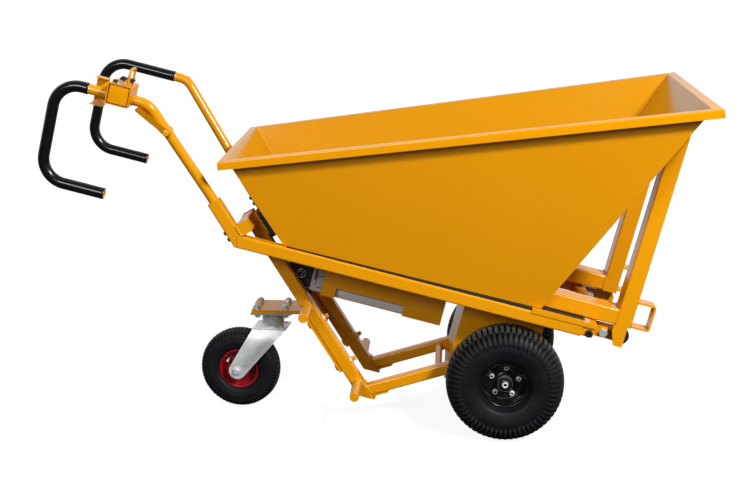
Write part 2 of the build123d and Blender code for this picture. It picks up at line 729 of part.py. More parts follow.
FRONT_CORNER = rim_corner(1, 1, RIM_WIDTH, 0)
BEND_PLACE = deck_point(-HANDLE_REACH + HANDLE_BEND, HANDLE_LOW + HANDLE_BEND)
REARMOST = BEND_PLACE.X - HANDLE_BEND - GRIP_DIAMETER / 2
FRAME_SHIFT = -(deck_point(FRONT_CORNER[0], FRONT_CORNER[2]).X + REARMOST) / 2


# Rail fronts, pads and hinge brackets


def rail_cap():
    """Wear strip on the rail with a lip over its outer edge."""
    outer = -RAIL_Y - HALF - SHEET
    strip = deck_box(CAP_REAR, CAP_FRONT, outer, -CAP_INNER, 0, CAP_THICKNESS)
    strip += deck_box(CAP_REAR, CAP_FRONT, outer, -RAIL_Y - HALF, -CAP_LIP, 0)
    hole = rod(deck_point(PAD_BOLT_PLACE, -TUBE, -RAIL_Y), deck_point(PAD_BOLT_PLACE, TUBE, -RAIL_Y),
               PAD_BOLT_DIAMETER / 2 + RUNNING_FIT)
    return strip - hole


def slide_pad():
    """Pad on the cap strip that the skip arm rests on."""
    outer = -ARM_OUTER - PAD_REVEAL
    return deck_box(PAD_REAR, PAD_FRONT, outer, outer + PAD_WIDTH, CAP_THICKNESS, ARM_UNDERSIDE - SLIP_GAP)


def rail_strip():
    """Rubber wedge on the flat top of the main rail that fills the gap under the edge of the skip floor."""
    front = CAP_REAR - SLIP_GAP
    slope = (SKIP_FLOOR_FRONT[1] - SKIP_FLOOR_REAR[1]) / (SKIP_FLOOR_FRONT[0] - SKIP_FLOOR_REAR[0])
    rear_top = SKIP_FLOOR_REAR[1] + slope * (STRIP_REAR - SKIP_FLOOR_REAR[0]) - SLIP_GAP
    front_top = rear_top + slope * (front - STRIP_REAR)
    outline = Polygon((STRIP_REAR, 0), (front, 0), (front, front_top), (STRIP_REAR, rear_top), align=None)
    half = HALF - TUBE_CORNER
    return deck_slab(outline, -RAIL_Y - half, -RAIL_Y + half)


def rear_buffer():
    """Rubber block on the rest plate, cut parallel to the rear wall of the skip."""
    corners = [leg_place(BUFFER_START, HALF + REST_THICKNESS)]
    corners += [leg_place(BUFFER_START + BUFFER_LENGTH, HALF + REST_THICKNESS)]
    corners += [leg_place(BUFFER_START + BUFFER_LENGTH, 3 * TUBE), leg_place(BUFFER_START, 3 * TUBE)]
    block = deck_slab(Polygon(*corners, align=None), -BUFFER_OUTER, -BUFFER_INNER)
    outward, distance = wall_plane(SKIP_FLOOR_REAR, SKIP_TOP_REAR, True, -SLIP_GAP)
    return trim(block, deck_point(outward.X * distance, outward.Z * distance),
                -deck_vector(outward.X, outward.Z))


def rail_plug():
    """Block in the open front end of the rail, drilled for the pad bolt."""
    inside = TUBE - 2 * TUBE_WALL
    section = RectangleRounded(inside - SEAT_GAP, inside - SEAT_GAP, TUBE_CORNER - TUBE_WALL + JOIN_OVERLAP)
    start = deck_point(PLUG_REAR, -HALF, -RAIL_Y)
    block = extrude(Plane(origin=start, x_dir=(0, 1, 0), z_dir=deck_vector(1, 0)) * section,
                    amount=PLUG_FRONT - PLUG_REAR)
    hole = rod(deck_point(PAD_BOLT_PLACE, -TUBE, -RAIL_Y), deck_point(PAD_BOLT_PLACE, TUBE, -RAIL_Y),
               PAD_BOLT_DIAMETER / 2 + RUNNING_FIT)
    return block - hole


def hinge_bracket():
    """Side plate on the rail, spacer and lug plate, all at one rail front."""
    bolt_hole = disc_at(BRACKET_BOLT_PLACE, BRACKET_BOLT_DIAMETER / 2 + RUNNING_FIT)
    low, high = -TUBE + SHEET, -SHEET
    plate_face = Polygon((BRACKET_REAR, low), (BRACKET_FRONT, low), (BRACKET_FRONT, high),
                         (BRACKET_REAR, high), align=None)
    inner_face = -RAIL_Y + HALF
    plate = deck_slab(plate_face - bolt_hole, inner_face, inner_face + BRACKET_THICKNESS)
    lug_rear = FRONT_TUBE_PLACE - HALF
    lug_face = Polygon((lug_rear, -TUBE), (HINGE_PLACE[0], HINGE_PLACE[1] - LUG_RADIUS),
                       (HINGE_PLACE[0], 0), (lug_rear, 0), align=None)
    lug_face += disc_at(HINGE_PLACE, LUG_RADIUS)
    lug_face -= disc_at(HINGE_PLACE, HINGE_PIN_DIAMETER / 2 + RUNNING_FIT) + bolt_hole
    lug = deck_slab(lug_face, -LUG_INNER - LUG_THICKNESS, -LUG_INNER)
    spacer = deck_box(lug_rear, FRONT_TUBE_PLACE + HALF / 2, inner_face + BRACKET_THICKNESS,
                      -LUG_INNER - LUG_THICKNESS, low, high)
    return [plate, lug, spacer]


def bracket_bolt():
    """Through bolt of a hinge bracket with its nut."""
    radius = BRACKET_BOLT_DIAMETER / 2
    outer = -RAIL_Y + HALF
    length = -LUG_INNER - outer + 2 * radius
    place = Plane(origin=deck_point(*BRACKET_BOLT_PLACE, outer), x_dir=deck_vector(1, 0), z_dir=(0, -1, 0))
    nut_place = Plane(origin=deck_point(*BRACKET_BOLT_PLACE, -LUG_INNER), x_dir=deck_vector(1, 0),
                      z_dir=(0, 1, 0))
    return [place * hex_bolt(radius, length), nut_place * hex_nut(radius)]


def pad_bolt():
    """Bolt through the cap strip into the rail plug."""
    place = Plane(origin=deck_point(PAD_BOLT_PLACE, CAP_THICKNESS, -RAIL_Y), x_dir=(0, 1, 0),
                  z_dir=deck_vector(0, 1))
    return place * hex_bolt(PAD_BOLT_DIAMETER / 2, CAP_THICKNESS + HALF)


def plug_screw():
    """Domed cap on the side of the rail plug."""
    seat = -RAIL_Y - HALF + TUBE_WALL
    place = Plane(origin=deck_point(*PLUG_SCREW_PLACE, seat), x_dir=deck_vector(1, 0), z_dir=(0, -1, 0))
    cap = Cylinder(PLUG_SCREW_DIAMETER / 2, PLUG_SCREW_HEIGHT, align=(Align.CENTER, Align.CENTER, Align.MIN))
    return place * fillet(cap.edges().group_by(Axis.Z)[-1], PLUG_SCREW_HEIGHT / 2)


def clamp_screw(along):
    """Screw in the rear of the handle socket that holds the handle."""
    origin = deck_point(*socket_place(along, -HALF), -RAIL_Y)
    outward = origin - deck_point(*socket_place(along), -RAIL_Y)
    place = Plane(origin=origin, x_dir=(0, 1, 0), z_dir=outward)
    return place * socket_screw(CLAMP_DIAMETER / 2, HALF - HANDLE_DIAMETER / 2 - SEAT_GAP)


# Drive: housing, gear cases, motors and wheels


PINION_U = AXLE_U
PINION_V = AXLE_V + GEAR_MODULE * (WHEEL_GEAR_TEETH + PINION_TEETH) / 2 + RUNNING_FIT
GEAR_MIDDLE = HOUSING_WIDTH / 2 - HOUSING_SHEET - CASE_WIDTH / 2


def axle_housing():
    """Sheet box under the rails between the drive wheels, open below."""
    half = HOUSING_WIDTH / 2
    box = deck_box(HOUSING_REAR, HOUSING_FRONT, -half, half, -HOUSING_DEPTH, -TUBE)
    inside = half - HOUSING_SHEET
    box -= deck_box(HOUSING_REAR + HOUSING_SHEET, HOUSING_FRONT - HOUSING_SHEET, -inside, inside,
                    -HOUSING_DEPTH - TUBE, -TUBE - HOUSING_SHEET)
    return box - deck_slab(disc_at((AXLE_U, AXLE_V), SHAFT_DIAMETER), -half - TUBE, half + TUBE)


def case_face(grow):
    """Rounded outline around both gears."""
    big = GEAR_MODULE * (WHEEL_GEAR_TEETH + 2) / 2 + CASE_CLEARANCE + grow
    small = GEAR_MODULE * (PINION_TEETH + 2) / 2 + CASE_CLEARANCE + grow
    return make_hull(disc_at((AXLE_U, AXLE_V), big).edges() + disc_at((PINION_U, PINION_V), small).edges())


def gear_case():
    """Hollow case on the inside of the housing wall, bored for both shafts."""
    outer = -HOUSING_WIDTH / 2 + HOUSING_SHEET
    inner = outer + CASE_WIDTH
    case = deck_slab(case_face(CASE_WALL), outer, inner)
    case -= deck_slab(case_face(0), outer + CASE_SKIN, inner - CASE_SKIN)
    axle, pinion = (AXLE_U, AXLE_V), (PINION_U, PINION_V)
    case -= deck_slab(disc_at(axle, SHAFT_DIAMETER / 2 + RUNNING_FIT), outer, outer + CASE_SKIN)
    case -= deck_slab(disc_at(axle, JOURNAL_DIAMETER / 2 + RUNNING_FIT), inner - CASE_SKIN,
                      inner - CASE_SKIN + JOURNAL_DEPTH)
    return case - deck_slab(disc_at(pinion, MOTOR_SHAFT_DIAMETER / 2 + RUNNING_FIT), inner - CASE_SKIN, inner)


def drive_motor():
    """Hollow motor body on the gear case."""
    start = -HOUSING_WIDTH / 2 + HOUSING_SHEET + CASE_WIDTH
    place = (PINION_U, PINION_V)
    body = deck_slab(disc_at(place, MOTOR_DIAMETER / 2), start, start + MOTOR_LENGTH)
    body = chamfer(body.edges().sort_by(Axis.Y)[-1], SHEET)
    room = disc_at(place, MOTOR_DIAMETER / 2 - MOTOR_WALL)
    body -= deck_slab(room, start + MOTOR_WALL, start + MOTOR_LENGTH - MOTOR_WALL)
    return body - deck_slab(disc_at(place, MOTOR_SHAFT_DIAMETER / 2 + RUNNING_FIT), start, start + MOTOR_WALL)


def gear_face(teeth, place, turn):
    """Involute gear outline around a deck place, with one tooth at the given turn."""
    pitch = GEAR_MODULE * teeth / 2
    pressure = math.radians(PRESSURE_ANGLE)
    base = pitch * math.cos(pressure)
    root = pitch - TOOTH_ROOT * GEAR_MODULE
    tip = pitch + GEAR_MODULE
    half_tooth = math.pi / (2 * teeth) - GEAR_PLAY / (2 * pitch)
    spread = half_tooth + math.tan(pressure) - pressure
    flank = []
    start = max(base, root)
    for i in range(FLANK_STEPS + 1):
        radius = start + (tip - start) * i / FLANK_STEPS
        roll = math.acos(base / radius) if radius > base else 0.0
        flank.append((radius, spread - math.tan(roll) + roll))
    flank.insert(0, (root - SLIP_GAP, flank[0][1]))
    points = []
    for tooth in range(teeth):
        middle = math.radians(turn) + 2 * math.pi * tooth / teeth
        profile = [(r, middle - a) for r, a in flank] + [(r, middle + a) for r, a in reversed(flank)]
        points += [(place[0] + r * math.cos(a), place[1] + r * math.sin(a)) for r, a in profile]
    return Polygon(*points, align=None)


def wheel_gear():
    """Large gear on the wheel shaft."""
    place = (AXLE_U, AXLE_V)
    face = gear_face(WHEEL_GEAR_TEETH, place, 90) - disc_at(place, SHAFT_DIAMETER / 2 + RUNNING_FIT)
    return deck_slab(face, -GEAR_MIDDLE - GEAR_WIDTH / 2, -GEAR_MIDDLE + GEAR_WIDTH / 2)


def motor_pinion():
    """Rotor, shaft and pinion of one motor in one piece."""
    place = (PINION_U, PINION_V)
    face = gear_face(PINION_TEETH, place, -90 + 180 / PINION_TEETH)
    pinion = deck_slab(face, -GEAR_MIDDLE - GEAR_WIDTH / 2, -GEAR_MIDDLE + GEAR_WIDTH / 2)
    start = -HOUSING_WIDTH / 2 + HOUSING_SHEET + CASE_WIDTH
    shaft_end = start + MOTOR_LENGTH - MOTOR_WALL - ROLLER_GAP
    shaft = deck_slab(disc_at(place, MOTOR_SHAFT_DIAMETER / 2), -GEAR_MIDDLE, shaft_end)
    rotor = deck_slab(disc_at(place, ROTOR_DIAMETER / 2), start + 2 * MOTOR_WALL,
                      start + MOTOR_LENGTH - 2 * MOTOR_WALL)
    return pinion + shaft + rotor


def right_wheel(shape):
    """Put a wheel piece, drawn around Y with its outside at +Y, on the right end of the axle."""
    return mirror(Pos(0, WHEEL_Y, AXLE_HEIGHT) * shape, about=Plane.XZ)


def turned(points):
    """Ring or disc turned around Y from (radius, along) corners."""
    return revolve(Polygon(*points, align=None), axis=Axis.Y)


def tyre(diameter, width, bead, rim_width, flange, skin):
    """Hollow tyre with round tread and sidewalls, its beads straight along the rim flanges."""
    top = diameter / 2
    seat = bead / 2
    bulge = seat + flange
    middle = seat + (top - seat) * SIDEWALL_MIDDLE
    shoulder = top - (top - seat) * SHOULDER_DROP
    edge = rim_width / 2 - RIM_SHEET - SEAT_GAP
    side = width / 2
    tread = width * TREAD_SHARE / 2
    outer = Line((seat, edge), (bulge, edge))
    outer += ThreePointArc((bulge, edge), (middle, side), (shoulder, tread))
    outer += ThreePointArc((shoulder, tread), (top, 0), (shoulder, -tread))
    outer += ThreePointArc((shoulder, -tread), (middle, -side), (bulge, -edge))
    outer += Line((bulge, -edge), (seat, -edge))
    room = edge - skin
    inner_shoulder = shoulder - skin
    inner_tread = tread - skin / 2
    inner = Line((seat, -room), (bulge, -room))
    inner += ThreePointArc((bulge, -room), (middle, -side + skin), (inner_shoulder, -inner_tread))
    inner += ThreePointArc((inner_shoulder, -inner_tread), (top - TREAD_SKIN, 0),
                           (inner_shoulder, inner_tread))
    inner += ThreePointArc((inner_shoulder, inner_tread), (middle, side - skin), (bulge, room))
    inner += Line((bulge, room), (seat, room))
    edges = outer + Line((seat, -edge), (seat, -room)) + inner + Line((seat, room), (seat, edge))
    return revolve(make_face(edges), axis=Axis.Y)


def drive_rim():
    """Pressed rim: barrel, two flanges and a recessed disc with bolt holes."""
    seat = DRIVE_BEAD_DIAMETER / 2 - SEAT_GAP
    edge = DRIVE_RIM_WIDTH / 2
    inside = seat - RIM_SHEET
    rim = turned([(inside, -edge), (seat, -edge), (seat, edge), (inside, edge)])
    tip = seat + RIM_FLANGE
    for low in (-edge, edge - RIM_SHEET):
        rim += turned([(inside, low), (tip, low), (tip, low + RIM_SHEET), (inside, low + RIM_SHEET)])
    bore = HUB_DIAMETER / 2 + SEAT_GAP
    far = DISC_OFFSET + DISC_THICKNESS
    disc_edge = seat - JOIN_OVERLAP
    rim += turned([(bore, DISC_OFFSET), (disc_edge, DISC_OFFSET), (disc_edge, far), (bore, far)])
    for place in wheel_bolt_places():
        low, high = Vector(place.X, -edge, place.Z), Vector(place.X, edge, place.Z)
        rim -= rod(low, high, WHEEL_BOLT_DIAMETER / 2 + SEAT_GAP)
    return rim


def wheel_bolt_places():
    """Bolt middles on their circle, on the outside of the disc."""
    places = []
    for i in range(WHEEL_BOLT_COUNT):
        angle = math.radians(WHEEL_BOLT_TURN + 90 + 360 * i / WHEEL_BOLT_COUNT)
        radius = WHEEL_BOLT_CIRCLE / 2
        places.append(Vector(-radius * math.cos(angle), DISC_OFFSET + DISC_THICKNESS,
                             radius * math.sin(angle)))
    return places


def wheel_hub():
    """Shaft with hub and bolt flange, from the gear case journal out to the hub end."""
    shaft = SHAFT_DIAMETER / 2
    hub = HUB_DIAMETER / 2
    flange = HUB_FLANGE_DIAMETER / 2
    back = DISC_OFFSET - HUB_FLANGE_THICKNESS
    inner_skin = HOUSING_WIDTH / 2 - HOUSING_SHEET - CASE_WIDTH + CASE_SKIN - WHEEL_Y
    journal = JOURNAL_DIAMETER / 2
    points = [(0, inner_skin - JOURNAL_DEPTH + SLIP_GAP), (journal, inner_skin - JOURNAL_DEPTH + SLIP_GAP)]
    points += [(journal, inner_skin + SLIP_GAP), (shaft, inner_skin + SLIP_GAP), (shaft, -HUB_INNER_REACH)]
    points += [(hub, -HUB_INNER_REACH), (hub, back), (flange, back), (flange, DISC_OFFSET),
               (hub, DISC_OFFSET)]
    points += [(hub, HUB_REACH), (shaft, HUB_REACH), (shaft, HUB_REACH + SHEET), (0, HUB_REACH + SHEET)]
    piece = turned(points)
    for place in wheel_bolt_places():
        start = Vector(place.X, back - TUBE_WALL, place.Z)
        piece -= rod(start, Vector(place.X, DISC_OFFSET + DISC_THICKNESS, place.Z),
                     WHEEL_BOLT_DIAMETER / 2 + RUNNING_FIT)
    return piece


def wheel_bolts():
    """Five socket screws that hold the rim to the hub."""
    screw = socket_screw(WHEEL_BOLT_DIAMETER / 2, DISC_THICKNESS + HUB_FLANGE_THICKNESS)
    return [Plane(origin=place, x_dir=(1, 0, 0), z_dir=(0, 1, 0)) * screw for place in wheel_bolt_places()]


# Battery, tray and control unit


TRAY_FLOOR = -TRAY_DEPTH
CAP_REAR_END = leg_front_at(TRAY_FLOOR) + END_CAP_GAP
TRAY_REAR = CAP_REAR_END + END_CAP_LENGTH
TRAY_FRONT = TRAY_REAR + TRAY_LENGTH
UNIT_REAR = CAP_REAR_END - SLIP_GAP - CONTROL_UNIT_LENGTH


def battery_tray():
    """Sheet tray under the cross tubes with a window in each side and a tongue for the control unit."""
    half = TRAY_WIDTH / 2
    tray = deck_box(TRAY_REAR, TRAY_FRONT, -half, half, TRAY_FLOOR - SHEET, -TUBE)
    tray -= deck_box(TRAY_REAR - TUBE, TRAY_FRONT + TUBE, -half + SHEET, half - SHEET, TRAY_FLOOR, TUBE)
    window = deck_box(TRAY_REAR + TRAY_WINDOW[0], TRAY_REAR + TRAY_WINDOW[1], -half - TUBE, half + TUBE,
                      TRAY_FLOOR - TUBE, -TRAY_WINDOW_TOP)
    narrow = BATTERY_WIDTH / 2
    floor = deck_box(TRAY_REAR, TRAY_FRONT, -narrow, narrow, TRAY_FLOOR - SHEET, TRAY_FLOOR)
    tongue_half = CONTROL_UNIT_WIDTH / 2
    tongue = deck_box(UNIT_REAR, TRAY_REAR, -tongue_half, tongue_half, TRAY_FLOOR - SHEET, TRAY_FLOOR)
    return tray - window + floor + tongue


def battery_case():
    """Extruded battery case with long grooves in its sides."""
    half = BATTERY_WIDTH / 2
    case = deck_box(TRAY_REAR, TRAY_FRONT, -half, half, TRAY_FLOOR, TRAY_FLOOR + BATTERY_HEIGHT)
    pitch = BATTERY_HEIGHT / BATTERY_GROOVES
    for i in range(BATTERY_GROOVES):
        low = TRAY_FLOOR + pitch * (i + 0.5) - BATTERY_GROOVE_WIDTH / 2
        for side in (-1, 1):
            y = sorted((side * (half - BATTERY_GROOVE_DEPTH), side * (half + TUBE)))
            case -= deck_box(TRAY_REAR - TUBE, TRAY_FRONT + TUBE, *y, low, low + BATTERY_GROOVE_WIDTH)
    return case


def battery_end_cap():
    """Moulded cap on the rear of the battery with a latch recess in each side."""
    half = BATTERY_WIDTH / 2
    cap = deck_box(CAP_REAR_END, TRAY_REAR, -half, half, TRAY_FLOOR + SLIP_GAP, TRAY_FLOOR + BATTERY_HEIGHT)
    middle_u = (CAP_REAR_END + TRAY_REAR) / 2
    middle_v = TRAY_FLOOR + BATTERY_HEIGHT / 2
    width, height, depth = END_CAP_LATCH
    for side in (-1, 1):
        y = sorted((side * (half - depth), side * (half + TUBE)))
        cap -= deck_box(middle_u - width / 2, middle_u + width / 2, *y, middle_v - height / 2,
                        middle_v + height / 2)
    return cap


def control_unit():
    """Box behind the battery for the motor controls."""
    half = CONTROL_UNIT_WIDTH / 2
    box = deck_box(UNIT_REAR, CAP_REAR_END - SLIP_GAP, -half, half, TRAY_FLOOR,
                   TRAY_FLOOR + CONTROL_UNIT_HEIGHT)
    return chamfer(box.edges().filter_by(Axis.Y), SHEET)


def power_socket():
    """Round socket on the right side of the control unit."""
    place = (UNIT_REAR + CONTROL_UNIT_LENGTH / 2 + SOCKET_FORWARD, TRAY_FLOOR + CONTROL_UNIT_HEIGHT / 2)
    seat = -CONTROL_UNIT_WIDTH / 2
    radius = SOCKET_RING_DIAMETER / 2
    body = deck_slab(disc_at(place, radius), seat - SOCKET_RING_LENGTH, seat)
    return body - deck_slab(disc_at(place, radius - SHEET), seat - SOCKET_RING_LENGTH, seat - SHEET)


# Castor and its carrier


FORK_TOP = CASTOR_DIAMETER + FORK_TOP_GAP + FORK_SHEET
SWIVEL_LOW = FORK_TOP + RACE_HEIGHT
CASTOR_PLATE_LOW = SWIVEL_LOW + SWIVEL_HEIGHT
CARRIER_LOW = CASTOR_PLATE_LOW + CASTOR_PLATE[2]
CARRIER_TOP = CARRIER_LOW + CARRIER_THICKNESS
CASTOR_AXLE_HEIGHT = CASTOR_DIAMETER / 2

# The carrier's fixings follow the place where its top meets the rear of the legs.
CARRIER_MEETING = (CARRIER_TOP - deck_point(*leg_place(0, -HALF)).Z) / LEG_LINE.Z
BACK_PLATE_START = CARRIER_MEETING - BACK_PLATE_RISE
BACK_PLATE_END = CARRIER_MEETING + BACK_PLATE_DROP
STRAP_END = CARRIER_MEETING + STRAP_DROP
STUD_PLACES = [CARRIER_MEETING + drop for drop in STUD_DROPS]
PEG_PLACES = (CARRIER_MEETING - UPPER_PEG_RISE, LEG_LENGTH - LOWER_PEG_RISE)


def back_plate_face(start, end):
    """Side outline of a plate on the rear of the leg."""
    corners = [leg_place(start, -HALF), leg_place(end, -HALF)]
    corners += [leg_place(end, -HALF - BACK_PLATE_THICKNESS), leg_place(start, -HALF - BACK_PLATE_THICKNESS)]
    return Polygon(*corners, align=None)


def castor_bolt_places():
    """Middles of the four castor bolts on top of the carrier."""
    long_half, cross_half = CASTOR_BOLT_SPACING[0] / 2, CASTOR_BOLT_SPACING[1] / 2
    return [Vector(-WHEELBASE + i * long_half, j * cross_half, CARRIER_TOP) for i in (-1, 1) for j in (-1, 1)]


def castor_carrier():
    """Plate across the legs with two straps, and the level plate that the castor hangs from."""
    outer = LEG_Y + HALF
    inner = LEG_Y - HALF
    plate = deck_slab(back_plate_face(BACK_PLATE_START, BACK_PLATE_END), -outer, outer)
    for side in (-1, 1):
        plate += deck_slab(back_plate_face(BACK_PLATE_END - JOIN_OVERLAP, STRAP_END),
                           *sorted((side * inner, side * outer)))
    level = Polygon((-WHEELBASE - CARRIER_REAR, CARRIER_LOW), (0, CARRIER_LOW), (0, CARRIER_TOP),
                    (-WHEELBASE - CARRIER_REAR, CARRIER_TOP), align=None)
    shelf = level_slab(level, -CARRIER_WIDTH / 2, CARRIER_WIDTH / 2)
    plate += trim(shelf, deck_point(*leg_place(BACK_PLATE_START, -HALF - JOIN_OVERLAP)), LEG_FRONT)
    for place in castor_bolt_places():
        plate -= rod(place, place - Vector(0, 0, TUBE), CASTOR_BOLT_DIAMETER / 2 + RUNNING_FIT)
    for along in STUD_PLACES:
        for side in (-1, 1):
            start = deck_point(*leg_place(along, -TUBE), side * LEG_Y)
            plate -= rod(start, deck_point(*leg_place(along, 0), side * LEG_Y),
                         STUD_DIAMETER / 2 + RUNNING_FIT)
    return plate


def carrier_stud(along):
    """Stud through the leg and the carrier, with a flat head below."""
    low = deck_point(*leg_place(along, -HALF - BACK_PLATE_THICKNESS - STUD_DIAMETER / 2), -LEG_Y)
    seat = deck_point(*leg_place(along, -HALF - BACK_PLATE_THICKNESS), -LEG_Y)
    top = deck_point(*leg_place(along, HALF + STUD_TOP), -LEG_Y)
    return rod(low, top, STUD_DIAMETER / 2) + rod(low, seat, STUD_HEAD_DIAMETER / 2)


def stud_clip(along):
    """Spring ring on the stud, resting on the leg."""
    middle = deck_point(*leg_place(along, HALF + CLIP_WIRE / 2), -LEG_Y)
    ring = Torus(STUD_DIAMETER / 2 + CLIP_WIRE / 2 + SEAT_GAP, CLIP_WIRE / 2)
    return Plane(origin=middle, x_dir=(0, 1, 0), z_dir=LEG_FRONT) * ring


def castor_plate():
    """Top plate of the castor with the swivel housing under it."""
    length, width, thickness = CASTOR_PLATE
    bottom = (Align.CENTER, Align.CENTER, Align.MIN)
    piece = Pos(0, 0, CASTOR_PLATE_LOW) * Box(length, width, thickness, align=bottom)
    piece += Pos(0, 0, SWIVEL_LOW) * Cylinder(SWIVEL_DIAMETER / 2, SWIVEL_HEIGHT, align=bottom)
    bore = Cylinder(KINGPIN_DIAMETER / 2 + RUNNING_FIT, SWIVEL_HEIGHT - SHEET, align=bottom)
    piece = Pos(-WHEELBASE, 0, 0) * (piece - Pos(0, 0, SWIVEL_LOW) * bore)
    for place in castor_bolt_places():
        piece -= rod(place, place - Vector(0, 0, TUBE), CASTOR_BOLT_DIAMETER / 2 + RUNNING_FIT)
    return piece


def castor_bolt(place):
    """Bolt through carrier and castor plate with its nut below."""
    radius = CASTOR_BOLT_DIAMETER / 2
    depth = CARRIER_THICKNESS + CASTOR_PLATE[2]
    bolt = Pos(place.X, place.Y, place.Z) * hex_bolt(radius, depth + 2 * radius)
    nut = Pos(place.X, place.Y, place.Z - depth) * Rot(180, 0, 0) * hex_nut(radius)
    return [bolt, nut]


def on_castor(shape):
    """Turn a castor piece, drawn around the swivel axis, and put it in place."""
    return Pos(-WHEELBASE, 0, 0) * Rot(0, 0, CASTOR_TURN) * shape


def castor_fork():
    """Bent fork with the lower race and the kingpin on top."""
    inner = FORK_INNER_WIDTH / 2
    outer = inner + FORK_SHEET
    low = FORK_TOP - FORK_SHEET
    axle = (-CASTOR_TRAIL, CASTOR_AXLE_HEIGHT)
    top = Polygon((-FORK_REAR, low), (FORK_FRONT, low), (FORK_FRONT, FORK_TOP), (-FORK_REAR, FORK_TOP),
                  align=None)
    side = make_hull(top.edges() + disc_at(axle, FORK_END_RADIUS).edges())
    side -= disc_at(axle, CASTOR_AXLE_DIAMETER / 2 + RUNNING_FIT)
    fork = level_slab(top, -outer, outer) + level_slab(side, -outer, -inner) + level_slab(side, inner, outer)
    bottom = (Align.CENTER, Align.CENTER, Align.MIN)
    fork += Pos(0, 0, FORK_TOP) * Cylinder(RACE_DIAMETER / 2, RACE_HEIGHT - SLIP_GAP, align=bottom)
    fork += Pos(0, 0, FORK_TOP) * Cylinder(KINGPIN_DIAMETER / 2, RACE_HEIGHT + SWIVEL_HEIGHT - 2 * SHEET,
                                           align=bottom)
    return on_castor(fork)


def castor_axle():
    """Bolt and nut through the fork."""
    radius = CASTOR_AXLE_DIAMETER / 2
    outer = FORK_INNER_WIDTH / 2 + FORK_SHEET
    near = Plane(origin=(-CASTOR_TRAIL, -outer, CASTOR_AXLE_HEIGHT), x_dir=(1, 0, 0), z_dir=(0, -1, 0))
    far = Plane(origin=(-CASTOR_TRAIL, outer, CASTOR_AXLE_HEIGHT), x_dir=(1, 0, 0), z_dir=(0, 1, 0))
    bolt = near * hex_bolt(radius, 2 * outer + 2 * radius)
    return [on_castor(bolt), on_castor(far * hex_nut(radius))]


def on_castor_axle(shape):
    """Put a castor wheel piece, drawn around Y, on the castor axle."""
    return on_castor(Pos(-CASTOR_TRAIL, 0, CASTOR_AXLE_HEIGHT) * shape)


def castor_rim():
    """Pressed rim with two dished halves and a hub."""
    seat = CASTOR_BEAD_DIAMETER / 2 - SEAT_GAP
    edge = CASTOR_RIM_WIDTH / 2
    inside = seat - RIM_SHEET
    hub = CASTOR_HUB_DIAMETER / 2
    bore = CASTOR_AXLE_DIAMETER / 2 + RUNNING_FIT
    reach = FORK_INNER_WIDTH / 2 - ROLLER_GAP
    rim = turned([(inside, -edge), (seat, -edge), (seat, edge), (inside, edge)])
    for low in (-edge, edge - RIM_SHEET):
        tip = seat + RIM_FLANGE / 2
        rim += turned([(inside, low), (tip, low), (tip, low + RIM_SHEET), (inside, low + RIM_SHEET)])
    low, high = hub - JOIN_OVERLAP, seat - JOIN_OVERLAP
    rim += turned([(low, -RIM_SHEET), (high, -RIM_SHEET), (high, RIM_SHEET), (low, RIM_SHEET)])
    rim += turned([(bore, -edge), (hub, -edge), (hub, edge), (bore, edge)])
    rim += turned([(bore, -reach), (bore + TUBE_WALL, -reach), (bore + TUBE_WALL, reach), (bore, reach)])
    return on_castor_axle(rim)


# Handles and controls


HANDLE_RISE = (HANDLE_TOP + HALF) / math.sin(math.radians(SOCKET_LEAN))


def handle_run():
    """Corner points of the right handle from the socket to the open end."""
    bend_u = socket_place(HANDLE_RISE)[0]
    points = [deck_point(*socket_place(HANDLE_START), -RAIL_Y),
              deck_point(*socket_place(HANDLE_STRAIGHT), -RAIL_Y)]
    points += [deck_point(bend_u, HANDLE_TOP, -GRIP_Y), deck_point(-HANDLE_REACH, HANDLE_TOP, -GRIP_Y)]
    points += [deck_point(-HANDLE_REACH, HANDLE_LOW, -GRIP_Y), deck_point(-HANDLE_END, HANDLE_LOW, -GRIP_Y)]
    return points


def handle_body(outside, inside=0.0):
    """Round body along the right handle, hollow where an inside radius is given."""
    path = FilletPolyline(*handle_run(), radius=[SPLAY_BEND, ELBOW_BEND, HANDLE_BEND, HANDLE_BEND])
    section = Circle(outside) - Circle(inside) if inside else Circle(outside)
    return sweep(Plane(path ^ 0) * section, path=path)


def handle_tube():
    """Bent handle tube."""
    return handle_body(HANDLE_DIAMETER / 2, HANDLE_DIAMETER / 2 - HANDLE_WALL)


def grip(start):
    """Sleeve over the C-shaped end of the handle, from a place on its upper run to the open end."""
    sleeve = handle_body(GRIP_DIAMETER / 2, HANDLE_DIAMETER / 2 + RUNNING_FIT)
    outer, inner = -GRIP_Y - TUBE, -RAIL_Y + TUBE
    middle = (HANDLE_TOP + HANDLE_LOW) / 2
    sleeve -= deck_box(-start, 0, outer, inner, middle, 2 * HANDLE_TOP)
    return sleeve - deck_box(-HANDLE_END + HALF, 0, outer, inner, -HANDLE_TOP, middle)


LEVER_SHARE = (LEVER_PLACE - HANDLE_STRAIGHT) / (HANDLE_RISE - HANDLE_STRAIGHT)
LEVER_ORIGIN = deck_point(*socket_place(LEVER_PLACE), -RAIL_Y - LEVER_SHARE * (GRIP_Y - RAIL_Y))
LEVER_RUN = (handle_run()[2] - handle_run()[1]).normalized()
LEVER_BELOW = deck_vector(-math.sin(math.radians(SOCKET_LEAN)), -math.cos(math.radians(SOCKET_LEAN)))
LEVER_AXIS = LEVER_RUN.cross(LEVER_BELOW).normalized()
LEVER_PLANE = Plane(origin=LEVER_ORIGIN, x_dir=LEVER_RUN, z_dir=LEVER_AXIS)


def lever_slab(face, low, high):
    """Solid from a face drawn along the handle and below it, between two distances across."""
    return LEVER_PLANE * (Pos(0, 0, low) * extrude(face, amount=high - low))


def lever_hole(radius):
    """Bore across the handle for the lever bolt."""
    return lever_slab(Circle(radius), -TUBE, TUBE)


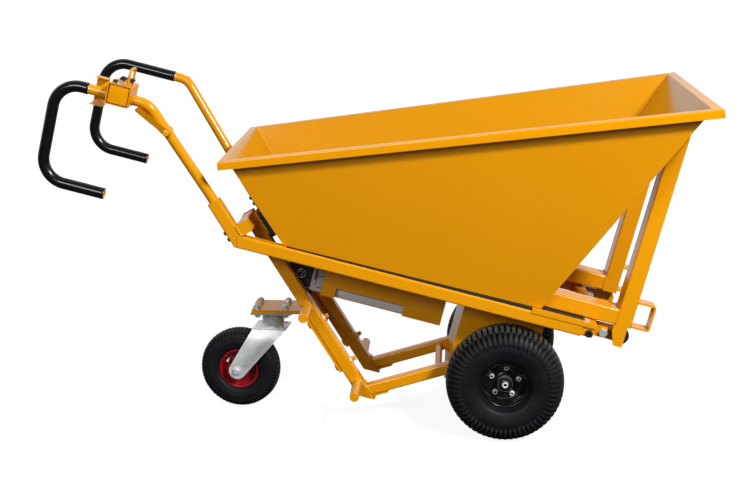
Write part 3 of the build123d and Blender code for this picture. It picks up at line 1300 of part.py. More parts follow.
def release_lever():
    """Folded channel lever under the right handle with a curled end."""
    angle = math.radians(LEVER_ANGLE)
    tip = (LEVER_LENGTH * math.cos(angle), LEVER_LENGTH * math.sin(angle))
    cheek = make_hull(Circle(LEVER_PIVOT_RADIUS).edges() + disc_at(tip, LEVER_TIP_RADIUS).edges())
    outer = LEVER_CHEEK + SHEET / 2
    inner = LEVER_CHEEK - SHEET / 2
    bore = Circle(LEVER_BOLT_DIAMETER / 2 + RUNNING_FIT)
    lever = lever_slab(cheek - bore, -outer, -inner) + lever_slab(cheek - bore, inner, outer)
    fall = math.asin((LEVER_PIVOT_RADIUS - LEVER_TIP_RADIUS) / LEVER_LENGTH)
    along = (math.cos(angle - fall), math.sin(angle - fall))
    aside = (-along[1], along[0])
    low = LEVER_PIVOT_RADIUS - SHEET
    corners = []
    for run, depth in ((TUBE, low), (LEVER_LENGTH, low), (LEVER_LENGTH, LEVER_PIVOT_RADIUS),
                       (TUBE, LEVER_PIVOT_RADIUS)):
        corners.append((run * along[0] + depth * aside[0], run * along[1] + depth * aside[1]))
    lever += lever_slab(Polygon(*corners, align=None), -outer, outer)
    curl_depth = low + LEVER_CURL / 2
    curl = (LEVER_LENGTH * along[0] + curl_depth * aside[0], LEVER_LENGTH * along[1] + curl_depth * aside[1])
    return lever + lever_slab(disc_at(curl, LEVER_CURL / 2), -outer, outer)


def lever_bolt():
    """Bolt and nut of the release lever through the handle."""
    radius = LEVER_BOLT_DIAMETER / 2
    reach = LEVER_CHEEK + SHEET / 2 + SLIP_GAP
    bolt = Pos(0, 0, reach) * hex_bolt(radius, 2 * reach + 2 * radius)
    nut = Pos(0, 0, -reach) * Rot(180, 0, 0) * hex_nut(radius)
    return [LEVER_PLANE * bolt, LEVER_PLANE * nut]


def ear_face(place, radius, floor_v, bore):
    """Upright ear with a round top and a bore."""
    foot = Polygon((place[0] - radius, floor_v), (place[0] + radius, floor_v), (place[0] + radius, place[1]),
                   (place[0] - radius, place[1]), align=None)
    return foot + disc_at(place, radius) - disc_at(place, bore)


def control_box():
    """Box around the right handle with ears for the rocker and for the drive paddle."""
    box = deck_box(BOX_REAR, BOX_FRONT, -BOX_OUTER, -BOX_INNER, BOX_BOTTOM, BOX_TOP)
    box = fillet(box.edges().filter_by(Axis.Y), SHEET)
    box -= deck_box(BOX_REAR + BOX_WALL, BOX_FRONT - BOX_WALL, -BOX_OUTER - TUBE, -BOX_INNER - BOX_WALL,
                    BOX_BOTTOM + BOX_WALL, BOX_TOP - BOX_WALL)
    for side in (-1, 1):
        near = -ROCKER_MIDDLE + side * (ROCKER_WIDTH / 2 + SLIP_GAP)
        ear = ear_face(ROCKER_PLACE, ROCKER_PIN_DIAMETER, BOX_TOP, ROCKER_PIN_DIAMETER / 2 + RUNNING_FIT)
        box += deck_slab(ear, *sorted((near, near + side * ROCKER_EAR)))
    pivot = (PADDLE_PIVOT, HANDLE_TOP)
    low, high = HANDLE_TOP - PADDLE_BOSS / 2, HANDLE_TOP + PADDLE_BOSS / 2
    foot = BOX_REAR + BOX_WALL
    arm = Polygon((PADDLE_PIVOT, low), (foot, low), (foot, high), (PADDLE_PIVOT, high), align=None)
    arm += disc_at(pivot, PADDLE_BOSS / 2)
    arm -= disc_at(pivot, PADDLE_PIN_DIAMETER / 2 + RUNNING_FIT)
    inner_web = -GRIP_Y + PADDLE_OFFSET + SHEET
    box += deck_slab(arm, inner_web + SLIP_GAP, inner_web + SLIP_GAP + 2 * SHEET)
    box -= handle_body(HANDLE_DIAMETER / 2 + SEAT_GAP)
    button = deck_point(BUTTON_PLACE, BOX_TOP - TUBE, -BUTTON_MIDDLE)
    return box - rod(button, deck_point(BUTTON_PLACE, BOX_TOP + TUBE, -BUTTON_MIDDLE),
                     BUTTON_STEM / 2 + RUNNING_FIT)


def control_cover():
    """Cover set into the outer side of the control box."""
    near = -BOX_OUTER + COVER_INSET
    gap = BOX_WALL + SEAT_GAP
    return deck_box(BOX_REAR + gap, BOX_FRONT - gap, near - COVER_THICKNESS, near, BOX_BOTTOM + gap,
                    BOX_TOP - gap)


def control_guard():
    """Loop of round bar over the switches."""
    points = [deck_point(GUARD_PLACE, BOX_TOP, -GUARD_OUTER),
              deck_point(GUARD_PLACE, GUARD_TOP - GUARD_DIAMETER / 2, -GUARD_OUTER)]
    points += [deck_point(GUARD_PLACE, GUARD_TOP - GUARD_DIAMETER / 2, -GUARD_INNER),
               deck_point(GUARD_PLACE, BOX_TOP, -GUARD_INNER)]
    path = FilletPolyline(*points, radius=GUARD_BEND)
    return sweep(Plane(path ^ 0) * Circle(GUARD_DIAMETER / 2), path=path)


def rocker():
    """Thumb rocker with its pin."""
    half = ROCKER_WIDTH / 2
    outline = Pos(*ROCKER_PLACE) * Polygon(*ROCKER_OUTLINE, align=None)
    body = deck_slab(outline, -ROCKER_MIDDLE - half, -ROCKER_MIDDLE + half)
    reach = half + SLIP_GAP + ROCKER_EAR
    pin = disc_at(ROCKER_PLACE, ROCKER_PIN_DIAMETER / 2)
    return body + deck_slab(pin, -ROCKER_MIDDLE - reach, -ROCKER_MIDDLE + reach)


def horn_button():
    """Round push button with its stem in the box."""
    base = deck_point(BUTTON_PLACE, BOX_TOP + BUTTON_TRAVEL + SLIP_GAP, -BUTTON_MIDDLE)
    top = deck_point(BUTTON_PLACE, BOX_TOP + BUTTON_TRAVEL + SLIP_GAP + BUTTON_HEIGHT, -BUTTON_MIDDLE)
    head = rod(base, top, BUTTON_DIAMETER / 2)
    return head + rod(deck_point(BUTTON_PLACE, BOX_TOP - 3 * BOX_WALL, -BUTTON_MIDDLE), base, BUTTON_STEM / 2)


def drive_paddle():
    """Folded paddle around the handle with its pivot pin."""
    rear = PADDLE_PIVOT - PADDLE_LENGTH
    low = HANDLE_TOP - PADDLE_HEIGHT / 2
    high = HANDLE_TOP + PADDLE_HEIGHT / 2
    front = PADDLE_PIVOT - SHEET
    pivot = (PADDLE_PIVOT, HANDLE_TOP)
    outer_web = -GRIP_Y + PADDLE_OFFSET
    web = Polygon((rear, low), (front, low), (front, high), (rear, high), align=None)
    web += disc_at(pivot, PADDLE_BOSS / 2)
    paddle = deck_slab(web, outer_web, outer_web + SHEET)
    paddle += deck_box(rear, front, outer_web - PADDLE_TOP_FLANGE, outer_web, high - SHEET, high)
    paddle += deck_box(rear, front, outer_web - PADDLE_LOW_FLANGE, outer_web, low, low + SHEET)
    pin_end = outer_web + SHEET + SLIP_GAP + 2 * SHEET
    return paddle + deck_slab(disc_at(pivot, PADDLE_PIN_DIAMETER / 2), outer_web, pin_end)


# Nodes

save("main_rails", *both_sides(main_rail()))
save("handle_sockets", *both_sides(handle_socket()))
save("stub_beams", *both_sides(stub_beam()))
save("legs", *both_sides(leg()))
save("lower_rails", *both_sides(lower_rail()), *both_sides(skid_shoe()))
save("cross_members", *cross_members())
save("leg_pegs", *[peg for along in PEG_PLACES for peg in both_sides(leg_peg(along))])
save("rail_caps", *both_sides(rail_cap()))
save("rubber_pads", *both_sides(slide_pad()), *both_sides(rail_strip()), *both_sides(rear_buffer()))
save("hinge_brackets", *[piece for part in hinge_bracket() for piece in both_sides(part)],
     *both_sides(rail_plug()))
save("axle_housing", axle_housing())
save("gear_cases", *both_sides(gear_case()))
save("drive_motors", *both_sides(drive_motor()))
save("battery_tray", battery_tray())
save("battery_case", battery_case())
save("battery_end_cap", battery_end_cap())
save("control_unit", control_unit())
save("power_socket", power_socket())
carrier_studs = [stud for along in STUD_PLACES for stud in both_sides(carrier_stud(along))]
save("castor_carrier", castor_carrier(), *carrier_studs)
save("stud_clips", *[clip for along in STUD_PLACES for clip in both_sides(stud_clip(along))])
save("castor_plate", castor_plate())
zinc_bolts = [bolt for part in bracket_bolt() + [pad_bolt()] for bolt in both_sides(part)]
zinc_bolts += [piece for place in castor_bolt_places() for piece in castor_bolt(place)] + lever_bolt()
save("zinc_bolts", *zinc_bolts)
clamp_screws = [screw for along in CLAMP_PLACES for screw in both_sides(clamp_screw(along))]
save("black_screws", *both_sides(plug_screw()), *clamp_screws)

right_handle = handle_tube()
save("handle_tubes", right_handle - lever_hole(LEVER_BOLT_DIAMETER / 2 + RUNNING_FIT),
     mirror(right_handle, about=Plane.XZ))
save("grip_right", grip(RIGHT_GRIP_START))
save("grip_left", mirror(grip(LEFT_GRIP_START), about=Plane.XZ))
save("control_box", control_box())
save("control_cover", control_cover())
save("control_guard", control_guard())

panels = skip_panels()
save("skip_floor", panels[0])
save("skip_sides", panels[1], panels[2])
save("skip_ends", panels[3], panels[4])
save("skip_rim", *skip_rim())
save("skip_frame", *both_sides(skip_arm()), *both_sides(skip_post()))
save("front_loops", *both_sides(front_loop()))
save("hinge_plates", *both_sides(hinge_plate()))
save("hinge_pins", *both_sides(hinge_pin()))
save("skip_bolts", *[bolt for along in SKIP_BOLT_PLACES for bolt in both_sides(skip_bolt(along))])

drive_tyre = right_wheel(tyre(DRIVE_TYRE_DIAMETER, DRIVE_TYRE_WIDTH, DRIVE_BEAD_DIAMETER, DRIVE_RIM_WIDTH,
                              RIM_FLANGE, TYRE_SKIN))
wheel_sets = {"tyre": [drive_tyre], "rim": [right_wheel(drive_rim())], "hub": [right_wheel(wheel_hub())]}
wheel_sets["bolts"] = [right_wheel(bolt) for bolt in wheel_bolts()]
wheel_sets["gear"] = [wheel_gear()]
for name, pieces in wheel_sets.items():
    save("drive_" + name + "_right", *pieces)
    save("drive_" + name + "_left", *[mirror(piece, about=Plane.XZ) for piece in pieces])
for name, piece in (("motor_pinion", motor_pinion()), ("hinge_roller", hinge_roller())):
    save(name + "_right", piece)
    save(name + "_left", mirror(piece, about=Plane.XZ))

castor_tyre = tyre(CASTOR_DIAMETER, CASTOR_WIDTH, CASTOR_BEAD_DIAMETER, CASTOR_RIM_WIDTH, RIM_FLANGE / 2,
                   TYRE_SKIN)
save("castor_tyre", on_castor_axle(castor_tyre))
save("castor_rim", castor_rim())
save("castor_fork", castor_fork())
save("castor_axle", *castor_axle())

save("drive_paddle", drive_paddle())
save("rocker", rocker())
save("horn_button", horn_button())
save("release_lever", release_lever())
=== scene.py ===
"""Looks of an electric wheelbarrow: finishes, tyres, rims, grips, fork, welds and a plain stage."""

import json
import math

import bmesh
import bpy
import numpy as np
from bpy.props import FloatProperty, FloatVectorProperty, IntProperty, PointerProperty
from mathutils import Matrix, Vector


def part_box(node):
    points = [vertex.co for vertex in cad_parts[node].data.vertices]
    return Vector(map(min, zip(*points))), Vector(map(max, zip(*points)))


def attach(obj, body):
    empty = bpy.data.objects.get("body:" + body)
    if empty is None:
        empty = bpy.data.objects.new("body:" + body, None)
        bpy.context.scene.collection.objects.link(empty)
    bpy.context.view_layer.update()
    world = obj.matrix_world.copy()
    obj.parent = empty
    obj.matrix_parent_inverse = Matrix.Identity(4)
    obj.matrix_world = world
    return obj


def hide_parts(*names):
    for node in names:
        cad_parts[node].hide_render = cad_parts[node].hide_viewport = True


bl_info = {
    "name": "Electric Wheelbarrow",
    "version": (1, 0, 0),
    "blender": (4, 5, 0),
    "location": "View3D > Sidebar > Wheelbarrow",
    "description": "Finishes and detail pieces of an electric wheelbarrow around its packed model",
    "category": "Object",
}

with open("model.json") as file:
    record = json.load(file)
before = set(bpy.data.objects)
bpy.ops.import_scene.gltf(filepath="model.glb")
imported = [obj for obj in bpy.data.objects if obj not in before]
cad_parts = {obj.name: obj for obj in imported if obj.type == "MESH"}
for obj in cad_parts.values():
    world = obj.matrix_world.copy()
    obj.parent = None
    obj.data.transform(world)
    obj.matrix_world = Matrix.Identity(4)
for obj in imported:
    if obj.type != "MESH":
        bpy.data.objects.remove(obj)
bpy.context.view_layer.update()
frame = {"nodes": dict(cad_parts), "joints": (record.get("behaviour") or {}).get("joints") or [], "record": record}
JOINTS = {joint["name"]: joint for joint in frame["joints"]}

# Places of the frame, in millimetres: u runs along the sloped deck to the front, v stands square to it.
SLOPE = math.radians(14.0)
AXLE_X = JOINTS["drive_wheel_spin_right"]["pos_m"][0] * 1000
TUBE = 40.0
RAIL_UNDERSIDE = 407.0
DECK_HEIGHT = RAIL_UNDERSIDE + TUBE / math.cos(SLOPE)
RAIL_Y = 258.0
LEG_Y = 130.0
GRIP_Y = 293.0
ARM_OUTER = 235.0
ARM_INNER = 155.0
RAIL_REAR = -841.5
LEG_LEAN = math.radians(44.3)
SOCKET_LEAN = math.radians(45.0)
HANDLE_TOP = 328.0
HANDLE_LOW = 27.0
HANDLE_STRAIGHT = 165.0
HANDLE_RISE = (HANDLE_TOP + TUBE / 2) / math.sin(SOCKET_LEAN)
HANDLE_REACH = 1468.0
HANDLE_END = 1266.0
GRIP_BEND = 74.0
LEVER_PLACE = 393.6
LEVER_TURN = math.radians(19.0)
LEVER_LENGTH = 112.0
SKIP_FLOOR_REAR = (-707.0, 2.0)
SKIP_FLOOR_FRONT = (104.0, 10.0)
SKIP_TOP_REAR = (-927.0, 226.0)
SKIP_TOP_FRONT = (389.0, 740.0)
SKIP_FLOOR_HALF = 260.0
SKIP_FLARE = 0.215
SKIP_MIDDLE = (-250.0, 350.0)
SHEET = 3.0
CARRIER_TOP = 351.0
END_CAP_REAR = -603.0
BATTERY_TOP = -66.5
BATTERY_HALF = 112.0

# Directions of the shared frame
ACROSS = (0, 1, 0)
UPWARD = (0, 0, 1)


# Shapes


def deck(u, v, y):
    """Deck places in millimetres as points of the shared frame in metres."""
    u, v, y = np.broadcast_arrays(np.asarray(u, float), np.asarray(v, float), np.asarray(y, float))
    x = AXLE_X + u * math.cos(SLOPE) + v * math.sin(SLOPE)
    z = DECK_HEIGHT - u * math.sin(SLOPE) + v * math.cos(SLOPE)
    return np.stack([x, y, z], axis=-1) / 1000


def deck_direction(u, v, y=0.0):
    """Direction on the deck as a unit direction of the shared frame."""
    d = np.array([u * math.cos(SLOPE) + v * math.sin(SLOPE), y, -u * math.sin(SLOPE) + v * math.cos(SLOPE)])
    return d / np.linalg.norm(d)


def socket_place(along, aside=0.0):
    """Deck place along a handle socket from the rail corner, and square to it towards the front."""
    u = RAIL_REAR - along * math.cos(SOCKET_LEAN) + aside * math.sin(SOCKET_LEAN)
    v = -TUBE / 2 + along * math.sin(SOCKET_LEAN) + aside * math.cos(SOCKET_LEAN)
    return u, v


def leg_place(along, aside=0.0):
    """Deck place along a leg from the stub beam, and square to it towards the front."""
    start_u, start_v = socket_place(TUBE / 2 * math.tan(SOCKET_LEAN / 2) + TUBE / 2, TUBE)
    u = start_u + along * math.cos(LEG_LEAN) + aside * math.sin(LEG_LEAN)
    v = start_v - along * math.sin(LEG_LEAN) + aside * math.cos(LEG_LEAN)
    return u, v


def joint_place(name):
    """Place of a joint in metres."""
    return np.array(JOINTS[name]["pos_m"])


def unit(vectors):
    """Vectors scaled to length one."""
    vectors = np.asarray(vectors, float)
    return vectors / np.linalg.norm(vectors, axis=-1, keepdims=True)


def smooth_step(x, low, high):
    """Zero below low, one above high, with a cubic ease between."""
    t = np.clip((np.asarray(x, float) - low) / (high - low), 0, 1)
    return t * t * (3 - 2 * t)


def surface(points, wrap_rows=False, wrap_columns=False, caps=False):
    """Grid of points (rows, columns, 3) as vertices and faces; caps close the first and last row."""
    rows, columns = points.shape[:2]
    index = np.arange(rows * columns).reshape(rows, columns)
    down = np.roll(index, -1, axis=0)
    right = np.roll(index, -1, axis=1)
    both = np.roll(down, -1, axis=1)
    quads = np.stack([index, right, both, down], axis=-1)
    quads = quads[: rows if wrap_rows else rows - 1, : columns if wrap_columns else columns - 1]
    faces = quads.reshape(-1, 4).tolist()
    if caps:
        faces += [index[0][::-1].tolist(), index[-1].tolist()]
    return points.reshape(-1, 3), faces


def cross_axes(axis):
    """Two directions square to an axis."""
    axis = unit(axis)
    helper = np.eye(3)[np.argmin(np.abs(axis))]
    first = unit(np.cross(axis, helper))
    return first, np.cross(axis, first)


def turned(profile, centre, axis, segments=72, flats=0, turn=0.0):
    """Profile of (radius, along) in millimetres turned about an axis through centre.

    Point = centre + along * axis + radius * (cos a * e1 + sin a * e2). With flats, the radius is
    multiplied by cos(pi/n) / cos(a mod 2pi/n - pi/n), which makes a regular polygon of n sides.
    A profile that starts and ends on the axis is closed there, any other is a closed ring.
    """
    profile = np.asarray(profile, float) / 1000
    first, second = cross_axes(axis)
    angle = np.linspace(0, 2 * np.pi, segments, endpoint=False)
    scale = np.ones_like(angle)
    if flats:
        scale = math.cos(math.pi / flats) / np.cos(angle % (2 * np.pi / flats) - math.pi / flats)
    angle = angle + turn
    ring = np.cos(angle)[:, None] * first + np.sin(angle)[:, None] * second
    radius = profile[None, :, 0, None] * scale[:, None, None]
    points = np.asarray(centre) + radius * ring[:, None, :] + profile[None, :, 1, None] * unit(axis)
    on_axis = profile[0, 0] < 1e-9 and profile[-1, 0] < 1e-9
    return surface(points, wrap_rows=True, wrap_columns=not on_axis)


def bent_path(corners, radii, steps=16):
    """Straight runs joined by arcs: at each inner corner an arc of the given radius, tangent to both runs.

    Arc point = centre - n * r * cos(a) + d * r * sin(a), where d is the direction of the run that comes in
    and n points from its end to the arc's centre.
    """
    corners = np.asarray(corners, float)
    points = [corners[:1]]
    for i, radius in enumerate(radii, start=1):
        d = unit(corners[i] - corners[i - 1])
        e = unit(corners[i + 1] - corners[i])
        n = unit(e - d * (d @ e))
        sweep = math.acos(np.clip(d @ e, -1, 1))
        start = corners[i] - d * radius * math.tan(sweep / 2)
        a = np.linspace(0, sweep, steps)[:, None]
        points.append(start + n * radius * (1 - np.cos(a)) + d * radius * np.sin(a))
    points.append(corners[-1:])
    return np.concatenate(points)


def even_path(points, step):
    """The same line with points at an even step."""
    length = np.concatenate([[0], np.cumsum(np.linalg.norm(np.diff(points, axis=0), axis=1))])
    count = max(2, int(round(length[-1] / step)) + 1)
    at = np.linspace(0, length[-1], count)
    return np.stack([np.interp(at, length, points[:, k]) for k in range(3)], axis=-1)


def swept(path, section, side, scale=None, closed=False, caps=True):
    """Section of (across, up) points in metres carried along a path.

    At each path point the frame is the tangent t, the given side direction made square to t, and t x side.
    Point = path + scale * (across * side + up * (t x side)).
    """
    path = np.asarray(path, float)
    tangent = np.gradient(path, axis=0)
    if closed:
        tangent = np.roll(path, -1, axis=0) - np.roll(path, 1, axis=0)
    tangent = unit(tangent)
    side = np.broadcast_to(np.asarray(side, float), path.shape)
    side = unit(side - tangent * np.sum(side * tangent, axis=1, keepdims=True))
    up = np.cross(tangent, side)
    grow = np.ones(len(path)) if scale is None else scale
    section = np.asarray(section, float)
    points = path[:, None, :] + grow[:, None, None] * (
        section[None, :, 0, None] * side[:, None, :] + section[None, :, 1, None] * up[:, None, :])
    return surface(points, wrap_rows=closed, wrap_columns=True, caps=caps and not closed)


def circle(radius, sides):
    """Round section in metres from a radius in millimetres."""
    a = np.linspace(0, 2 * np.pi, sides, endpoint=False)
    return np.stack([np.cos(a), np.sin(a)], axis=-1) * radius / 1000


def oval(middle, radii, count):
    """Closed oval profile: point = middle + (first radius * cos a, second radius * sin a), in millimetres."""
    a = np.linspace(0, 2 * np.pi, count, endpoint=False)
    return np.stack([middle[0] + radii[0] * np.cos(a), middle[1] + radii[1] * np.sin(a)], axis=-1)


def weld_bead(points, size, side=ACROSS, closed=False):
    """Scalloped bead along a line; the ends of an open one taper to 0.45 of its radius.

    Radius = size * (0.92 + 0.2 * |sin(pi s / pitch)|), with a pitch of 1.3 sizes.
    """
    steps = 5
    path = even_path(np.asarray(points, float), 1.3 * size / steps / 1000)
    if closed:
        path = path[:-1]
    count = np.arange(len(path))
    scale = 0.92 + 0.2 * np.abs(np.sin(np.pi * count / steps))
    if not closed:
        ends = np.minimum(count, count[::-1])
        scale = scale * (0.45 + 0.55 * smooth_step(ends, 0, 6))
    return swept(path, circle(size, 8), side, scale, closed)


def ring_path(centre, axis, radius, count=64):
    """Closed circle of points, radius in millimetres, with its first point repeated at the end."""
    first, second = cross_axes(axis)
    a = np.linspace(0, 2 * np.pi, count + 1)[:, None]
    return np.asarray(centre) + (np.cos(a) * first + np.sin(a) * second) * radius / 1000


def block(centre, half, axes, round_edge):
    """Block with rounded edges: a cube of points pulled in by the edge radius, then pushed out again.

    Each face is a grid of six lines each way. Its two outer lines lean by 22.5 and 45 degrees, so that
    neighbouring faces meet in the middle of a quarter circle, and at a corner along its diagonal.
    """
    t = np.array([-1, -1, -0.995, 0.995, 1, 1])
    lean = np.sin(np.radians([45.0, 22.5, 0.0, 0.0, 22.5, 45.0]))
    a, b = np.meshgrid(np.arange(6), np.arange(6), indexing="ij")
    half = np.asarray(half, float) / 1000
    edge = round_edge / 1000
    faces = []
    for k in range(3):
        i, j = (k + 1) % 3, (k + 2) % 3
        for sign in (-1, 1):
            core = np.zeros((6, 6, 3))
            core[..., i] = np.clip(t[a] * half[i], -half[i] + edge, half[i] - edge)
            core[..., j] = np.clip(t[b] * half[j], -half[j] + edge, half[j] - edge)
            core[..., k] = sign * (half[k] - edge)
            push = np.zeros((6, 6, 3))
            push[..., i] = np.sign(t[a]) * lean[a]
            push[..., j] = np.sign(t[b]) * lean[b]
            rest = np.sqrt(np.clip(1 - push[..., i] ** 2 - push[..., j] ** 2, 0, 1))
            corner = (lean[a] > 0.7) & (lean[b] > 0.7)
            push[corner] *= math.sqrt(2 / 3)
            rest[corner] = math.sqrt(1 / 3)
            push[..., k] = sign * rest
            faces.append(surface(np.asarray(centre) + (core + edge * push) @ np.asarray(axes)))
    return joined(faces)


def joined(parts):
    """Several parts as one list of points and faces."""
    points, faces, start = [], [], 0
    for part_points, part_faces in parts:
        points.append(part_points)
        faces += [[n + start for n in face] for face in part_faces]
        start += len(part_points)
    return np.concatenate(points), faces


def add_piece(name, parts, body, finish_name, stands_for=(), sharp=35.0, marks=None, slot=None):
    """Join parts into one closed mesh, give it its finish and let it ride on a body.

    Edges past the sharp angle, in degrees, stay crisp. Marks are the dust and painted lug light
    of each point. The slot is not used.
    """
    slot = slot or finish_name
    points, faces = joined(parts)
    mesh = bpy.data.meshes.new(name)
    mesh.from_pydata(points.tolist(), [], faces)
    # Dust and painted light of each point, kept as a mesh attribute.
    if marks is not None:
        layer = mesh.attributes.new("wear", "FLOAT", "POINT")
        layer.data.foreach_set("value", np.asarray(marks, np.float32).ravel())
    work = bmesh.new()
    work.from_mesh(mesh)
    bmesh.ops.remove_doubles(work, verts=work.verts, dist=1e-6)
    bmesh.ops.recalc_face_normals(work, faces=work.faces)
    work.to_mesh(mesh)
    work.free()
    mesh.polygons.foreach_set("use_smooth", np.ones(len(mesh.polygons), bool))
    mesh.set_sharp_from_angle(angle=math.radians(sharp))
    mesh.materials.append(FINISHES[finish_name])
    piece = bpy.data.objects.new(name, mesh)
    bpy.context.scene.collection.objects.link(piece)
    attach(piece, body)
    if stands_for:
        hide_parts(*stands_for)
    return piece


# Finishes

COLOUR = "NodeSocketColor"
VALUE = "NodeSocketFloat"
FINISH_OUTPUTS = [("Colour", COLOUR), ("Roughness", VALUE), ("Height", VALUE)]


def group_tree(name, inputs, outputs):
    """Empty shader group with named sockets; returns it with its input and output nodes."""
    tree = bpy.data.node_groups.new(name, "ShaderNodeTree")
    for label, kind, default in inputs:
        socket = tree.interface.new_socket(name=label, in_out="INPUT", socket_type=kind)
        socket.default_value = default
    for label, kind in outputs:
        tree.interface.new_socket(name=label, in_out="OUTPUT", socket_type=kind)
    return tree, tree.nodes.new("NodeGroupInput"), tree.nodes.new("NodeGroupOutput")


def math_node(tree, operation, first, second):
    """Math node whose inputs are sockets or numbers; returns its output."""
    node = tree.nodes.new("ShaderNodeMath")
    node.operation = operation
    for socket, value in zip(node.inputs, (first, second)):
        if isinstance(value, (int, float)):
            socket.default_value = value
        else:
            tree.links.new(value, socket)
    return node.outputs[0]


def mix_colour(tree, factor, first, second):
    """Blend two colour sockets by a factor socket; returns the colour."""
    node = tree.nodes.new("ShaderNodeMix")
    node.data_type = "RGBA"
    for socket, value in ((node.inputs[0], factor), (node.inputs[6], first), (node.inputs[7], second)):
        if hasattr(value, "is_linked"):
            tree.links.new(value, socket)
        else:
            socket.default_value = value
    return node.outputs[2]


def noise(tree, vector, scale, detail=3.0, rough=0.55):
    """Noise of a given scale on object coordinates; returns its value socket."""
    node = tree.nodes.new("ShaderNodeTexNoise")
    node.inputs["Detail"].default_value = detail
    node.inputs["Roughness"].default_value = rough
    tree.links.new(vector, node.inputs["Vector"])
    if isinstance(scale, (int, float)):
        node.inputs["Scale"].default_value = scale
    else:
        tree.links.new(scale, node.inputs["Scale"])
    return node.outputs["Fac"]


def stretch(tree, value, low, high, to_low, to_high):
    """Map a value from one range to another, clamped; returns its socket."""
    node = tree.nodes.new("ShaderNodeMapRange")
    for socket, number in zip(node.inputs[1:5], (low, high, to_low, to_high)):
        socket.default_value = number
    tree.links.new(value, node.inputs[0])
    return node.outputs[0]


def coat_group():
    """Powder coat: uneven tone, faint orange peel, and dust that settles on faces that look up."""
    tree, given, out = group_tree(
        "Powder Coat",
        [("Colour", COLOUR, (0.7, 0.3, 0.0, 1)), ("Deep Colour", COLOUR, (0.5, 0.2, 0.0, 1)),
         ("Dust", VALUE, 0.05), ("Roughness", VALUE, 0.38)],
        FINISH_OUTPUTS)
    place = tree.nodes.new("ShaderNodeTexCoord").outputs["Object"]
    cloud = noise(tree, place, 3.2, 4.0)
    grain = noise(tree, place, 420.0, 2.0)
    patches = stretch(tree, cloud, 0.3, 0.7, 0.0, 0.22)
    tone = math_node(tree, "ADD", patches, stretch(tree, grain, 0.3, 0.7, 0.0, 0.1))
    colour = mix_colour(tree, tone, given.outputs["Colour"], given.outputs["Deep Colour"])
    facing = tree.nodes.new("ShaderNodeSeparateXYZ")
    tree.links.new(tree.nodes.new("ShaderNodeNewGeometry").outputs["Normal"], facing.inputs[0])
    up = stretch(tree, facing.outputs["Z"], 0.55, 0.95, 0.0, 1.0)
    specks = stretch(tree, noise(tree, place, 34.0, 5.0, 0.7), 0.45, 0.75, 0.0, 1.0)
    settled = math_node(tree, "MULTIPLY", math_node(tree, "MULTIPLY", up, specks), given.outputs["Dust"])
    tree.links.new(mix_colour(tree, settled, colour, (0.42, 0.34, 0.26, 1)), out.inputs["Colour"])
    rough = math_node(tree, "ADD", given.outputs["Roughness"], stretch(tree, cloud, 0.3, 0.7, -0.03, 0.05))
    rough = math_node(tree, "ADD", rough, math_node(tree, "MULTIPLY", settled, 0.4))
    tree.links.new(rough, out.inputs["Roughness"])
    peel = math_node(tree, "ADD", noise(tree, place, 260.0, 1.0), math_node(tree, "MULTIPLY", grain, 0.35))
    tree.links.new(peel, out.inputs["Height"])
    return tree


def grain_group():
    """Moulded grain and light scuffs for rubber and plastic."""
    tree, given, out = group_tree(
        "Moulded Grain",
        [("Colour", COLOUR, (0.02, 0.02, 0.02, 1)), ("Scuff Colour", COLOUR, (0.1, 0.09, 0.08, 1)),
         ("Scuff", VALUE, 0.2), ("Roughness", VALUE, 0.45), ("Grain", VALUE, 700.0)],
        FINISH_OUTPUTS)
    place = tree.nodes.new("ShaderNodeTexCoord").outputs["Object"]
    cloud = stretch(tree, noise(tree, place, 16.0, 6.0, 0.65), 0.42, 0.72, 0.0, 1.0)
    scuff = math_node(tree, "MULTIPLY", cloud, given.outputs["Scuff"])
    colour = mix_colour(tree, scuff, given.outputs["Colour"], given.outputs["Scuff Colour"])
    tree.links.new(colour, out.inputs["Colour"])
    rough = math_node(tree, "ADD", given.outputs["Roughness"], math_node(tree, "MULTIPLY", scuff, 0.3))
    tree.links.new(rough, out.inputs["Roughness"])
    tree.links.new(noise(tree, place, given.outputs["Grain"], 2.0), out.inputs["Height"])
    return tree


def metal_group():
    """Zinc flowers and fine scratches for bare metal."""
    tree, given, out = group_tree(
        "Metal Grain",
        [("Colour", COLOUR, (0.7, 0.7, 0.7, 1)), ("Dull Colour", COLOUR, (0.5, 0.5, 0.5, 1)),
         ("Flower Size", VALUE, 90.0), ("Roughness", VALUE, 0.3)],
        FINISH_OUTPUTS)
    place = tree.nodes.new("ShaderNodeTexCoord").outputs["Object"]
    flowers = tree.nodes.new("ShaderNodeTexVoronoi")
    tree.links.new(place, flowers.inputs["Vector"])
    tree.links.new(given.outputs["Flower Size"], flowers.inputs["Scale"])
    shade = tree.nodes.new("ShaderNodeSeparateColor")
    tree.links.new(flowers.outputs["Color"], shade.inputs[0])
    cloud = noise(tree, place, 22.0, 5.0, 0.6)
    flecks = math_node(tree, "MULTIPLY", shade.outputs[0], 0.45)
    tone = math_node(tree, "ADD", flecks, stretch(tree, cloud, 0.35, 0.7, 0.0, 0.55))
    colour = mix_colour(tree, tone, given.outputs["Colour"], given.outputs["Dull Colour"])
    tree.links.new(colour, out.inputs["Colour"])
    rough = math_node(tree, "ADD", given.outputs["Roughness"], math_node(tree, "MULTIPLY", tone, 0.16))
    tree.links.new(rough, out.inputs["Roughness"])
    tree.links.new(noise(tree, place, 500.0, 2.0), out.inputs["Height"])
    return tree


